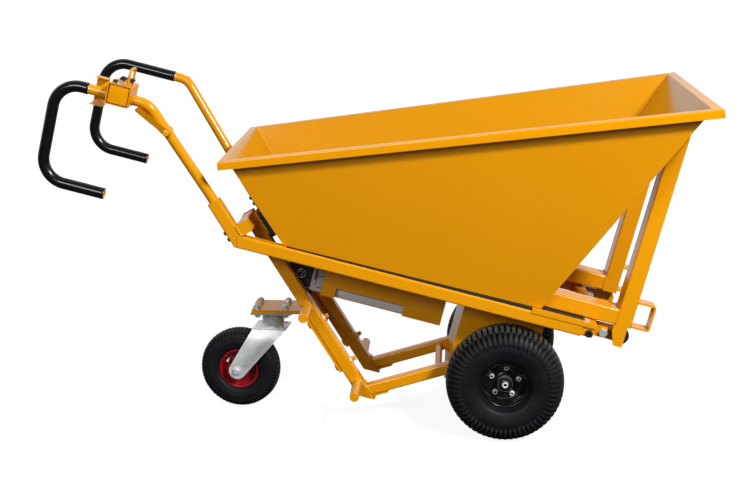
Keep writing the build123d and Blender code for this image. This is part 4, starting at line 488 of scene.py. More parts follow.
def inside_shade_group():
    """Painted shade on the inner faces of a tray: faces that look to its middle, in clouds."""
    tree, given, out = group_tree(
        "Inside Painted Shade", [("Middle", "NodeSocketVector", (0, 0, 0))], [("Inside", VALUE)])
    place = tree.nodes.new("ShaderNodeTexCoord")
    away = tree.nodes.new("ShaderNodeVectorMath")
    away.operation = "SUBTRACT"
    tree.links.new(place.outputs["Object"], away.inputs[0])
    tree.links.new(given.outputs["Middle"], away.inputs[1])
    facing = tree.nodes.new("ShaderNodeVectorMath")
    facing.operation = "DOT_PRODUCT"
    tree.links.new(away.outputs["Vector"], facing.inputs[0])
    tree.links.new(place.outputs["Normal"], facing.inputs[1])
    inner = stretch(tree, facing.outputs["Value"], -0.002, 0.002, 1.0, 0.0)
    clouds = stretch(tree, noise(tree, place.outputs["Object"], 7.0, 6.0, 0.65), 0.35, 0.7, 0.8, 1.0)
    # Painted shade: full on the inner faces, in clouds from 0.8 to 1.
    tree.links.new(math_node(tree, "MULTIPLY", inner, clouds), out.inputs["Inside"])
    return tree


def finish(name, group, values, bump, metallic=0.0, specular=0.5, coat=0.0, wear=None, load=None):
    """Material of one shader fed by a group.

    A colour blends in by the mesh's own attribute: dust on the tyre crown, and painted light that lifts
    the lug faces above the shaded grooves. Load is a group, a middle and a colour: painted shade, a darker
    copy of the paint on the faces that look to that middle.
    """
    material = bpy.data.materials.new(name)
    material.use_nodes = True
    tree = material.node_tree
    shader = tree.nodes["Principled BSDF"]
    node = tree.nodes.new("ShaderNodeGroup")
    node.node_tree = group
    for label, value in values.items():
        node.inputs[label].default_value = value
    colour = node.outputs["Colour"]
    # Dust on the tyre crown and painted light on the lug faces, by the mesh's attribute.
    if wear:
        mark = tree.nodes.new("ShaderNodeAttribute")
        mark.attribute_name = "wear"
        place = tree.nodes.new("ShaderNodeTexCoord").outputs["Object"]
        patches = stretch(tree, noise(tree, place, 38.0, 5.0, 0.7), 0.34, 0.62, 0.25, 1.0)
        dust_and_light_share = math_node(tree, "MULTIPLY", mark.outputs["Fac"], patches)
        colour = mix_colour(tree, dust_and_light_share, colour, wear)
    # Painted shade: a darker copy of the paint on the faces that look to the middle.
    if load:
        marks = tree.nodes.new("ShaderNodeGroup")
        marks.node_tree = load[0]
        marks.inputs["Middle"].default_value = load[1]
        colour = mix_colour(tree, marks.outputs["Inside"], colour, load[2])
    tree.links.new(colour, shader.inputs["Base Color"])
    tree.links.new(node.outputs["Roughness"], shader.inputs["Roughness"])
    relief = tree.nodes.new("ShaderNodeBump")
    relief.inputs["Strength"].default_value = bump
    relief.inputs["Distance"].default_value = 0.0004
    tree.links.new(node.outputs["Height"], relief.inputs["Height"])
    tree.links.new(relief.outputs["Normal"], shader.inputs["Normal"])
    shader.inputs["Metallic"].default_value = metallic
    shader.inputs["Specular IOR Level"].default_value = specular
    shader.inputs["Coat Weight"].default_value = coat
    shader.inputs["Coat Roughness"].default_value = 0.12
    return material


def rgba(colour):
    """Colour of three channels as four numbers."""
    return (*colour, 1.0)


def grey(level):
    """Grey of a level, as four numbers."""
    return rgba([level] * 3)


FINISHES = {}
NODE_FINISHES = {
    "zinc_bolts": "bright_bolts",
    "skip_bolts": "bright_bolts",
    "castor_plate": "bright_bolts",
    "skip_floor": "skip_paint",
    "skip_sides": "skip_paint",
    "skip_ends": "skip_paint",
}


def shade_of(colour, share):
    """Darker shade of a colour."""
    return [channel * share for channel in colour]


def make_finishes(settings):
    """All finishes of the wheelbarrow from the colour settings."""
    coat, grain, metal = coat_group(), grain_group(), metal_group()

    def painted(slot, name, colour, deep, dust, rough, bump, **shine):
        values = {"Colour": rgba(colour), "Deep Colour": rgba(deep), "Dust": dust, "Roughness": rough}
        FINISHES[slot] = finish(name, coat, values, bump, **shine)

    def moulded(slot, name, colour, scuffed, scuff, rough, size, bump, **shine):
        values = {"Colour": rgba(colour), "Scuff Colour": rgba(scuffed), "Scuff": scuff}
        values.update({"Roughness": rough, "Grain": size})
        FINISHES[slot] = finish(name, grain, values, bump, **shine)

    def bare(slot, name, colour, dull, flower, rough, bump, metallic):
        values = {"Colour": rgba(colour), "Dull Colour": rgba(dull)}
        values.update({"Flower Size": flower, "Roughness": rough})
        FINISHES[slot] = finish(name, metal, values, bump, metallic=metallic)

    paint, red, gloss = settings.paint, settings.red, settings.paint_roughness
    deep = shade_of(paint, 0.86)
    painted("yellow_paint", "Yellow Powder Coat", paint, deep, dust=0.12, rough=gloss, bump=0.04)
    # The inner faces of the skip get a darker copy of the paint, as painted shade.
    inside_shaded = (inside_shade_group(), deck(*SKIP_MIDDLE, 0.0), rgba((paint[0] * 0.76, paint[1] * 0.83, paint[2])))
    painted("skip_paint", "Skip Powder Coat", paint, deep, dust=0.12, rough=gloss, bump=0.04, load=inside_shaded)
    painted("red_paint", "Red Rim Paint", red, shade_of(red, 0.7),
            dust=0.1, rough=0.26, bump=0.06, specular=0.4, coat=0.3)
    painted("black_paint", "Black Rim Paint", (0.005, 0.005, 0.006), (0.003, 0.003, 0.003),
            dust=0.02, rough=0.22, bump=0.05, specular=0.4)
    painted("grey_paint", "Grey Drive Paint", (0.05, 0.05, 0.055), (0.035, 0.035, 0.04),
            dust=0.1, rough=0.45, bump=0.1)
    # The tyre's attribute colour is dust on the crown and painted light on the lug faces.
    moulded("tyre_rubber", "Tyre Rubber", settings.rubber, (0.018, 0.018, 0.020),
            scuff=0.3, rough=0.48, size=480.0, bump=0.25, specular=0.18, wear=(0.15, 0.13, 0.10, 1))
    moulded("pad_rubber", "Pad Rubber", (0.007, 0.007, 0.007), (0.022, 0.020, 0.018),
            scuff=0.3, rough=0.6, size=500.0, bump=0.2)
    moulded("black_grip", "Grip Vinyl", (0.003, 0.003, 0.004), (0.008, 0.008, 0.008),
            scuff=0.25, rough=0.17, size=620.0, bump=0.002)
    moulded("black_plastic", "Black Plastic", (0.010, 0.010, 0.011), (0.03, 0.03, 0.03),
            scuff=0.3, rough=0.42, size=900.0, bump=0.12)
    moulded("grey_plastic", "Grey Plastic", (0.42, 0.40, 0.38), (0.28, 0.27, 0.25),
            scuff=0.4, rough=0.5, size=800.0, bump=0.12)
    bare("zinc", "Zinc Plate", (0.93, 0.96, 0.96), (0.70, 0.73, 0.73),
         flower=70.0, rough=0.34, bump=0.03, metallic=0.38)
    bare("bright_bolts", "Bolt Zinc", (0.86, 0.89, 0.91), (0.60, 0.63, 0.66),
         flower=160.0, rough=0.2, bump=0.03, metallic=0.6)
    bare("steel", "Turned Steel", (0.6, 0.6, 0.6), (0.42, 0.42, 0.42),
         flower=60.0, rough=0.24, bump=0.05, metallic=0.6)
    bare("aluminium", "Mill Aluminium", (0.82, 0.82, 0.81), (0.7, 0.7, 0.69),
         flower=30.0, rough=0.3, bump=0.05, metallic=0.5)


# Settings


class WheelbarrowColours(bpy.types.PropertyGroup):
    """Colours and gloss of the finishes."""

    paint: FloatVectorProperty(
        name="Paint", description="Colour of the powder coat",
        subtype="COLOR", size=3, min=0, max=1, default=(0.76, 0.303, 0.0))
    paint_roughness: FloatProperty(
        name="Paint Roughness", description="Roughness of the powder coat",
        default=0.15, min=0, max=1, subtype="FACTOR")
    red: FloatVectorProperty(
        name="Castor Red", description="Colour of the castor rim",
        subtype="COLOR", size=3, min=0, max=1, default=(0.30, 0.003, 0.012))
    rubber: FloatVectorProperty(
        name="Rubber", description="Colour of the tyres",
        subtype="COLOR", size=3, min=0, max=1, default=(0.0055, 0.0055, 0.0078))


class WheelbarrowSizes(bpy.types.PropertyGroup):
    """Sizes of the detail pieces, in millimetres unless said otherwise."""

    drive_lugs: IntProperty(
        name="Drive Lugs", description="Lugs around each drive tyre", default=62, min=12, max=120)
    castor_lugs: IntProperty(
        name="Castor Lugs", description="Lugs around the castor tyre", default=64, min=12, max=120)
    lug_depth: FloatProperty(
        name="Lug Depth", description="Depth of the drive tyre tread in millimetres",
        default=10.5, min=1, max=15)
    castor_lug_depth: FloatProperty(
        name="Castor Lug Depth", description="Depth of the castor tread in millimetres",
        default=4.5, min=1, max=10)
    weld_size: FloatProperty(
        name="Weld Size", description="Radius of a weld bead in millimetres", default=3.2, min=1, max=8)
    grip_radius: FloatProperty(
        name="Grip Radius", description="Outside radius of the grips in millimetres",
        default=17.5, min=12, max=25)
    cover_gap: FloatProperty(
        name="Cover Gap", description="Gap around the control cover in millimetres",
        default=2.8, min=0.2, max=4)


class WheelbarrowStage(bpy.types.PropertyGroup):
    """Light and camera of the stage."""

    key_power: FloatProperty(
        name="Key Light", description="Power of the front light on the right",
        default=358.0, min=0, unit="POWER")
    fill_power: FloatProperty(
        name="Fill Light", description="Power of the front light on the left",
        default=98.0, min=0, unit="POWER")
    world_strength: FloatProperty(
        name="Surroundings", description="Strength of the pale backdrop behind", default=0.75, min=0)
    floor_bounce: FloatProperty(
        name="Floor Bounce", description="How bright the floor is to the object",
        default=0.06, min=0, max=1, subtype="FACTOR")
    focal_length: FloatProperty(
        name="Focal Length", description="Focal length of the camera on a 36 mm sensor",
        default=64.32, min=10, unit="CAMERA")


def colours():
    """Colour settings of the scene."""
    return bpy.context.scene.wheelbarrow_colours


def sizes():
    """Size settings of the scene."""
    return bpy.context.scene.wheelbarrow_sizes


# Pieces


class WHEELBARROW_OT_finish_frame(bpy.types.Operator):
    """Give every CAD node its finish"""

    bl_idname = "wheelbarrow.finish_frame"
    bl_label = "Finish the Frame"

    def execute(self, context):
        make_finishes(colours())
        slots = {part["node"]: part["material_slot"] for part in frame["record"]["subparts"]}
        for name, node in frame["nodes"].items():
            material = FINISHES[NODE_FINISHES.get(name, slots[name])]
            if node.material_slots:
                for place in node.material_slots:
                    place.material = material
            else:
                node.data.materials.append(material)
        return {"FINISHED"}


def tyre_surface(centre, axis, seat, top, half, rim_half, skin, lugs, depth, lug_start, columns, rows):
    """Tyre with a block tread, and for each of its points the dust on the crown and painted light on the lugs.

    The section runs from bead to bead: r and y follow a smooth curve through bead, sidewall, shoulder and
    crown. Tread blocks stand out along the section's normal by depth times a mask: the mask is a product of
    eased square waves around the wheel and eased bands across it, each row set off by half a lug. Radii and
    half widths are in metres, the depth in millimetres. The lugs start at a share of the tyre's height.
    """
    height = top - seat
    depth = depth / 1000
    knots = np.array([
        (0.0, rim_half), (0.07, rim_half + 0.0005), (0.17, 0.72 * half + 0.28 * rim_half),
        (0.33, 0.95 * half), (0.47, half), (0.53, half * 0.995), (0.545, half * 1.005), (0.56, half * 0.985),
        (0.66, 0.965 * half), (0.77, 0.905 * half), (0.86, 0.80 * half), (0.93, 0.62 * half),
        (0.97, 0.40 * half), (0.99, 0.18 * half), (1.0, 0.0)])
    radius = seat + (height - depth) * knots[:, 0]
    along = np.concatenate([[0], np.cumsum(np.hypot(np.diff(radius), np.diff(knots[:, 1])))])
    at = np.linspace(0, along[-1], rows)
    kernel = np.array([1, 2, 3, 2, 1]) / 9

    def eased(values):
        line = np.interp(at, along, values)
        line[2:-1] = np.convolve(np.pad(line, 2, mode="edge"), kernel, mode="valid")[2:-1]
        return line

    r_half, y_half = eased(radius), eased(knots[:, 1])
    r = np.concatenate([r_half, r_half[-2::-1]])
    y = np.concatenate([y_half, -y_half[-2::-1]])
    tangent = unit(np.stack([np.gradient(r), np.gradient(y)], axis=-1))
    normal = np.stack([-tangent[:, 1], tangent[:, 0]], axis=-1)
    angle = np.arange(lugs * columns) * 2 * np.pi / (lugs * columns)
    phase = (angle * lugs / (2 * np.pi))[:, None]
    share = np.abs(y)[None, :] / half
    lift = ((r - seat) / height)[None, :]
    quarter = 0.25 * np.sign(y)[None, :]

    def wave(shift, duty):
        t = np.abs((phase + shift) % 1.0 - 0.5) * 2
        return 1 - smooth_step(t, duty - 0.07, duty + 0.07)

    on_side = smooth_step(lift, lug_start, lug_start + 0.05)
    shoulder = wave(quarter, 0.58) * on_side * smooth_step(share, 0.50, 0.55)
    second_band = smooth_step(share, 0.20, 0.235) * (1 - smooth_step(share, 0.455, 0.49))
    second = wave(0.5 + quarter, 0.66) * second_band
    middle = wave(0.25, 0.7) * (1 - smooth_step(share, 0.155, 0.19))
    blocks = np.clip(shoulder + (second + middle) * smooth_step(lift, 0.8, 0.86), 0, 1)
    raised = blocks * (smooth_step(lift, lug_start, 0.9) * 0.4 + 0.6) * depth
    radial = r[None, :] + normal[None, :, 0] * raised
    offset = y[None, :] + normal[None, :, 1] * raised
    belly = seat + 0.45 * height
    inner_r = np.array([seat, belly, top - depth - skin, belly, seat])
    inner_y = np.array([-(rim_half - skin), -(half - skin), 0.0, half - skin, rim_half - skin])
    inner_shape = (len(angle), len(inner_r))
    radial = np.concatenate([radial, np.broadcast_to(inner_r, inner_shape)], axis=1)
    offset = np.concatenate([offset, np.broadcast_to(inner_y, inner_shape)], axis=1)
    first, other = cross_axes(axis)
    ring = np.cos(angle)[:, None, None] * first + np.sin(angle)[:, None, None] * other
    points = np.asarray(centre) + radial[..., None] * ring + offset[..., None] * unit(axis)
    # Dust on the crown blocks; the 0.06 on every block is painted light that lifts the lug faces above the shaded
    # grooves.
    dust = blocks * (0.06 + 0.84 * smooth_step(lift, 0.84, 0.94))
    dust = np.concatenate([dust, np.zeros(inner_shape)], axis=1)
    return surface(points, wrap_rows=True, wrap_columns=True), dust


class WHEELBARROW_OT_drive_tyres(bpy.types.Operator):
    """Make the two drive tyres with block tread"""

    bl_idname = "wheelbarrow.drive_tyres"
    bl_label = "Drive Tyres"

    def execute(self, context):
        for side in ("right", "left"):
            low, high = (np.array(corner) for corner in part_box("drive_tyre_" + side))
            _, half, top = (high - low) / 2
            # dust holds the dust on the crown and the painted light on the lug faces.
            part, dust = tyre_surface(
                (low + high) / 2, ACROSS, seat=0.066, top=top, half=half, rim_half=0.0345, skin=0.009,
                lugs=sizes().drive_lugs, depth=sizes().lug_depth, lug_start=0.58, columns=16, rows=48)
            add_piece("tyre_drive_" + side, [part], "drive_wheel_" + side, "tyre_rubber",
                      ["drive_tyre_" + side], 50, dust)
        return {"FINISHED"}


class WHEELBARROW_OT_castor_tyre(bpy.types.Operator):
    """Make the castor tyre with its finer tread"""

    bl_idname = "wheelbarrow.castor_tyre"
    bl_label = "Castor Tyre"

    def execute(self, context):
        centre, axis = joint_place("castor_wheel_spin"), JOINTS["castor_wheel_spin"]["axis"]
        part, dust = tyre_surface(
            centre, axis, seat=0.061, top=centre[2], half=0.042, rim_half=0.0265, skin=0.008,
            lugs=sizes().castor_lugs, depth=sizes().castor_lug_depth, lug_start=0.62, columns=10, rows=44)
        # A quarter of the dust and painted lug light of the drive tyres.
        add_piece("tyre_castor", [part], "castor_wheel", "tyre_rubber", ["castor_tyre"], 50, dust * 0.25)
        return {"FINISHED"}


def valve_part(centre, axis):
    """Valve stem: a small turned profile with a cap."""
    profile = [(0, 0), (4.2, 0), (4.2, 6), (3.2, 8), (3.2, 17), (4.4, 18), (4.4, 25), (3.6, 26.5), (0, 26.5)]
    return turned(profile, centre, axis, 20)


class WHEELBARROW_OT_drive_rims(bpy.types.Operator):
    """Make the two black drive rims with their hubs, shaft ends, screws and valves"""

    bl_idname = "wheelbarrow.drive_rims"
    bl_label = "Drive Rims"

    def execute(self, context):
        for side, sign in (("right", -1), ("left", 1)):
            place = (joint_place("drive_wheel_spin_" + side), np.array([0, sign, 0]))
            self.rim(side, *place)
            self.hub(side, *place)
            self.screws(side, *place)
            self.valve(side, *place)
        return {"FINISHED"}

    def rim(self, side, centre, axis):
        """Two rolled lips, a barrel that drops to a well, and a dished disc, all turned."""
        barrel = [(65.8, -36), (69.5, -36), (66.5, -30), (65.6, -22), (63.8, -14), (63.8, 14), (65.6, 22),
                  (66.5, 30), (69.5, 36), (65.8, 36), (63.2, 29), (62.2, 21), (60.4, 13), (60.4, -13),
                  (62.2, -21), (63.2, -29)]
        disc = [(23.3, -5.6), (36, -5.6), (56, -5.6), (59.5, -3.8), (61.2, 0.0), (61.2, 4.0), (57.8, 4.0),
                (57.3, 1.0), (55.6, -0.4), (36, -0.5), (23.3, -0.5)]
        lips = [oval((71.0, along), (4.2, 3.2), 20) for along in (37.0, -37.0)]
        parts = [turned(profile, centre, axis, 96) for profile in (*lips, barrel, disc)]
        add_piece("rim_drive_" + side, parts, "drive_wheel_" + side, "black_paint", ["drive_rim_" + side], 40)

    def hub(self, side, centre, axis):
        """Boss, flange and end cap of the hub, and the bright ring on the end of the shaft."""
        boss = [(12.9, 20.0), (23.4, 20.0), (23.4, 28.5), (22.2, 29.9), (13.6, 29.9), (12.9, 29.4)]
        end = [(0, 32.7), (12.8, 32.7), (12.8, 33.3), (12.2, 33.9), (0, 33.9)]
        flange = [(23.2, -0.4), (33.0, -0.4), (33.0, 3.2), (31.0, 5.0), (25.5, 6.2), (23.2, 9.0)]
        parts = [turned(profile, centre, axis, 64) for profile in (boss, flange, end)]
        add_piece("hub_drive_" + side, parts, "drive_wheel_" + side, "black_paint")
        nose = [(4.8, 33.8), (9.9, 33.8), (9.9, 35.6), (8.9, 36.6), (5.8, 36.6), (4.8, 35.6)]
        nose_part = turned(nose, centre, axis, 40)
        add_piece("shaft_end_" + side, [nose_part], "drive_wheel_" + side, "zinc", sharp=30)

    def screws(self, side, centre, axis):
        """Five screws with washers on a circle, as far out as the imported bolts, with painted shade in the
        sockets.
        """
        face = max(axis[1] * (corner[1] - centre[1]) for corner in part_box("drive_bolts_" + side))
        washer = [(3.6, -8.4), (8.6, -8.4), (8.6, -6.6), (8.0, -6.2), (3.6, -6.2)]
        screw = [(0, -12.0), (6.9, -12.0), (6.9, -0.9), (6.1, 0.0), (4.2, 0.0), (3.8, -0.6), (3.8, -4.4),
                 (0, -4.8)]
        # Black disc in each socket: painted shade in the recess.
        socket = [(0, -4.6), (3.7, -4.6), (3.7, -1.6), (0, -2.0)]
        circle_radius, first_turn = 0.045, 13.0
        parts, socket_shade_discs = [], []
        for turn in np.radians(first_turn + 72.0 * np.arange(5)):
            spot = centre + circle_radius * np.array([math.cos(turn), 0, math.sin(turn)]) + axis * face
            parts += [turned(washer, spot, axis, 28), turned(screw, spot, axis, 28)]
            socket_shade_discs.append(turned(socket, spot, axis, 24))
        add_piece("screws_drive_" + side, parts, "drive_wheel_" + side, "zinc", ["drive_bolts_" + side], 30)
        add_piece("screw_socket_shade_" + side, socket_shade_discs, "drive_wheel_" + side, "black_paint", sharp=30)

    def valve(self, side, centre, axis):
        """Valve stem between two screws."""
        turn, radius, rise = 0.6, 0.0545, 0.006
        spot = centre + radius * np.array([math.cos(turn), 0, math.sin(turn)]) + axis * rise
        add_piece("valve_drive_" + side, [valve_part(spot, axis)], "drive_wheel_" + side, "black_plastic")


class WHEELBARROW_OT_castor_rim(bpy.types.Operator):
    """Make the red castor rim with its dished halves and valve"""

    bl_idname = "wheelbarrow.castor_rim"
    bl_label = "Castor Rim"

    def execute(self, context):
        centre, axis = joint_place("castor_wheel_spin"), unit(JOINTS["castor_wheel_spin"]["axis"])
        bowl = [(60.6, 27), (62.5, 26), (60.2, 20), (57.5, 10), (53, 4.6), (44, 3.2), (30, 4.0), (24, 8),
                (22.5, 16), (22, 26), (18.5, 29), (8.2, 29), (8.2, 26), (17, 26), (19.4, 22), (19.6, 14),
                (21.4, 5), (28, 1.0), (44, 0.2), (54, 1.4), (57.8, 5), (58.4, 20)]
        sleeve = [(6.1, -48.4), (9.2, -48.4), (9.2, 48.4), (6.1, 48.4)]
        parts = []
        for sign in (-1, 1):
            parts.append(turned(oval((63.2, sign * 28.2), (3.4, 2.6), 18), centre, axis, 96))
            parts.append(turned([(r, sign * y) for r, y in bowl], centre, axis, 96))
        parts.append(turned(sleeve, centre, axis, 40))
        add_piece("rim_castor", parts, "castor_wheel", "red_paint", ["castor_rim"], 40)
        outward = unit(np.array([-0.62, 0, 0.40]))
        outward = unit(outward - axis * (outward @ axis))
        stem = valve_part(centre + outward * 0.046 - axis * 0.0035, -axis)
        add_piece("valve_castor", [stem], "castor_wheel", "zinc")
        return {"FINISHED"}


def tangent_arc(start, centre, radius, sign, count):
    """Line from a start point to a circle and on along it to its lowest point, as (count, 2) points.

    The touching point is centre + radius * (cos, sin) of the angle that is square to the tangent line.
    """
    on_arc = 12
    run = np.asarray(centre, float) - start
    length = np.hypot(*run)
    touch_angle = math.atan2(run[1], run[0]) + sign * (math.pi / 2 + math.asin(radius / length))
    touch = centre + radius * np.array([math.cos(touch_angle), math.sin(touch_angle)])
    straight = np.asarray(start) + np.linspace(0, 1, count - on_arc)[:, None] * (touch - start)
    low = -math.pi / 2
    swing = (low - touch_angle + math.pi) % (2 * math.pi) - math.pi
    a = touch_angle + np.linspace(0, 1, on_arc + 1)[1:, None] * swing
    return np.concatenate([straight, centre + radius * np.concatenate([np.cos(a), np.sin(a)], axis=1)])


def fork_cheek(centre, along, side, sign, top, eye):
    """Pressed cheek of the castor fork, with its eye at a place (along, up) from the top plate.

    Its outline is two lines from the top plate that touch a circle around the axle, joined row by row. The
    sheet leans out by 12 mm down to a bend, then hangs straight, steps in near the axle and has a long
    crease. The inner face is the outer one moved in by the sheet's thickness.
    """
    rows, columns = 52, 15
    eye_radius, sheet, bend = 28.0, 5.0, 0.27
    front = tangent_arc(np.array([50.0, 0.0]), eye, eye_radius, 1, rows)
    rear = tangent_arc(np.array([-60.0, 0.0]), eye, eye_radius, -1, rows)
    c = np.linspace(0, 1, columns)
    flat = front[:, None, :] * (1 - c[None, :, None]) + rear[:, None, :] * c[None, :, None]
    x, z = flat[..., 0], flat[..., 1]
    s = z / eye[1]
    out = 43.0 + 12.0 * np.clip(s / bend, 0, 1) - 0.8 * np.exp(-((s - bend) / 0.035) ** 2)
    out = out - 1.6 * smooth_step(s, 0.86, 0.89)
    crease = smooth_step(s, 0.30, 0.36) * (1 - smooth_step(s, 0.56, 0.68))
    out = out + 1.1 * np.exp(-((c[None, :] - 0.70) / 0.05) ** 2) * crease
    outer = np.stack([x, out, z], -1)
    inner = outer - np.array([0, sheet, 0])
    shell = np.concatenate([outer, inner[:, ::-1]], axis=1) * np.array([1, sign, 1]) + np.array([0, 0, top])
    return surface(centre + shell @ np.array([along, side, UPWARD]) / 1000, wrap_columns=True, caps=True)


class WHEELBARROW_OT_castor_fork(bpy.types.Operator):
    """Make the pressed castor fork with its top plate, race and kingpin, and the axle bolt"""

    bl_idname = "wheelbarrow.castor_fork"
    bl_label = "Castor Fork"

    def execute(self, context):
        swivel, axle = joint_place("castor_swivel"), joint_place("castor_wheel_spin")
        side = unit(JOINTS["castor_wheel_spin"]["axis"])
        along = np.cross(side, UPWARD)
        axes = np.array([along, side, UPWARD])
        plate_half = 3.0
        top = swivel[2] * 1000
        middle = top - plate_half
        centre = np.array([swivel[0], swivel[1], 0])
        eye = np.array([(axle - centre) @ along * 1000, axle[2] * 1000 - middle])
        parts = [fork_cheek(centre, along, side, sign, middle, eye) for sign in (-1, 1)]
        plate_centre = centre + np.array([-5.0, 0, middle]) @ axes / 1000
        parts.append(block(plate_centre, (55, 44.5, plate_half), axes, 1.4))
        race = [(0, 0), (33, 0), (33, 1.5), (29, 3.4), (29, 5.7), (10, 5.7), (10, 36.0), (0, 36.0)]
        parts.append(turned(race, swivel, UPWARD, 48))
        rivet = [(0, 0), (5.5, 0), (5.5, 1.6), (4, 3), (0, 3.4)]
        for x in (-42, 36):
            for y in (-32, 32):
                spot = centre + np.array([x, y, top - 0.2]) @ axes / 1000
                parts.append(turned(rivet, spot, UPWARD, 18))
        add_piece("fork_castor", parts, "castor", "zinc", ["castor_fork"], 24)
        shaft = [(0, -53.0), (6.0, -53.0), (6.0, 53.0), (0, 53.0)]
        washer = [(0, 53.0), (14.5, 53.0), (14.5, 55.5), (0, 55.5)]
        head = [(0, 55.5), (9.8, 55.5), (10.4, 56.5), (10.4, 61.5), (9.4, 63.0), (0, 63.2)]
        parts = [turned(shaft, axle, side, 32)]
        for direction in (side, -side):
            parts.append(turned(washer, axle, direction, 40))
            parts.append(turned(head, axle, direction, 36, flats=6, turn=0.4))
        add_piece("axle_castor", parts, "castor", "zinc", ["castor_axle"], 30)
        return {"FINISHED"}


class WHEELBARROW_OT_grips(bpy.types.Operator):
    """Make the two glossy grips with rolled ends"""

    bl_idname = "wheelbarrow.grips"
    bl_label = "Grips"

    def execute(self, context):
        step = 0.004
        v = np.array([HANDLE_TOP, HANDLE_TOP, HANDLE_LOW, HANDLE_LOW])
        for side, sign, start in (("right", -1, 1372.0), ("left", 1, 1232.0)):
            u = -np.array([start, HANDLE_REACH, HANDLE_REACH, HANDLE_END])
            corners = deck(u, v, sign * GRIP_Y)
            path = even_path(bent_path(corners, [GRIP_BEND / 1000] * 2, 28), step)
            sleeve = self.sleeve(path, step, sizes().grip_radius)
            add_piece("grip_sleeve_" + side, [sleeve], "chassis", "black_grip", ["grip_" + side], 60)
        return {"FINISHED"}

    def sleeve(self, path, step, radius):
        """Tube along a path: its radius shrinks in a quarter circle at each end, behind a low bead.

        Outside and inside are both carried along the path, and a ring of faces joins them at each end.
        """
        sides, roll, bore = 40, 0.0026, 15.6
        length = np.arange(len(path)) * step
        ends = np.minimum(length, length[-1] - length)
        shrink = roll - np.sqrt(np.clip(roll ** 2 - np.clip(roll - ends, 0, None) ** 2, 0, None))
        bead = 0.0006 * np.exp(-((ends - 0.004) / 0.003) ** 2)
        outer = radius / 1000
        scale = (outer - shrink * 0.5 + bead) / outer
        outside = swept(path, circle(radius, sides), ACROSS, scale, caps=False)
        inside = swept(path, circle(bore, sides), ACROSS, caps=False)
        points, faces = joined([outside, inside])
        across = len(outside[0])
        for row in (0, len(path) - 1):
            ring = np.arange(sides) + row * sides
            after = np.roll(ring, -1)
            faces += np.stack([ring, after, after + across, ring + across], -1).tolist()
        return points, faces


def skip_plane(start, end, left, inset):
    """Outward direction (u, y, v) and distance of a skip wall through two deck places."""
    d = unit(np.array([end[0] - start[0], 0, end[1] - start[1]]))
    outward = np.array([-d[2], 0, d[0]]) if left else np.array([d[2], 0, -d[0]])
    return outward, outward @ np.array([start[0], 0, start[1]]) - inset


def skip_corner(end, side, level, inset):
    """Corner of the skip as a deck place (u, y, v): three wall planes solved together."""
    floor, reach = skip_plane(SKIP_FLOOR_REAR, SKIP_FLOOR_FRONT, False, 0)
    size = math.hypot(1, SKIP_FLARE)
    flank = (np.array([0, side, 0]) + floor * SKIP_FLARE) / size
    flank_reach = (SKIP_FLOOR_HALF + SKIP_FLARE * reach) / size - inset
    if end < 0:
        across = skip_plane(SKIP_FLOOR_REAR, SKIP_TOP_REAR, True, inset)
    else:
        across = skip_plane(SKIP_FLOOR_FRONT, SKIP_TOP_FRONT, False, inset)
    height = skip_plane(SKIP_TOP_REAR, SKIP_TOP_FRONT, True, 0) if level else (floor, reach - inset)
    directions = np.array([flank, across[0], height[0]])
    return np.linalg.solve(directions, np.array([flank_reach, across[1], height[1]]))


def rim_ring(offset, height):
    """Four rim corners, moved out in the rim plane by offset and up square to it by height, as points."""
    run = np.array(SKIP_TOP_FRONT) - np.array(SKIP_TOP_REAR)
    length = np.linalg.norm(run)
    du, dv = run / length
    rear_half, front_half = skip_corner(-1, 1, 1, 0)[1], skip_corner(1, 1, 1, 0)[1]
    taper = (front_half - rear_half) / length
    corners = []
    for end, side in ((-1, -1), (1, -1), (1, 1), (-1, 1)):
        along = -offset if end < 0 else length + offset
        half = rear_half + taper * along + offset * math.hypot(1, taper)
        u = SKIP_TOP_REAR[0] + along * du - height * dv
        v = SKIP_TOP_REAR[1] + along * dv + height * du
        corners.append(deck(u, v, side * half))
    return np.array(corners)


class WHEELBARROW_OT_skip_rim(bpy.types.Operator):
    """Make the turned-down rim of the skip with rounded bends"""

    bl_idname = "wheelbarrow.skip_rim"
    bl_label = "Skip Rim"

    def execute(self, context):
        width, drop, bend, lap = 26.0, 25.0, 4.5, 1.6
        a = np.linspace(np.pi / 2, 0, 7)

        def arc(radius):
            return np.stack([width - bend + radius * np.cos(a), -bend + radius * np.sin(a)], axis=-1)

        outer = [(-lap, 0.0), *arc(bend), (width, -drop)]
        inner = [(width - SHEET, -drop), *arc(bend - SHEET)[::-1], (-lap, -SHEET)]
        points = np.stack([rim_ring(offset, height) for offset, height in outer + inner], axis=1)
        rim = surface(points, wrap_rows=True, wrap_columns=True)
        add_piece("rim_skip", [rim], "skip", "yellow_paint", ["skip_rim"], 28)
        return {"FINISHED"}


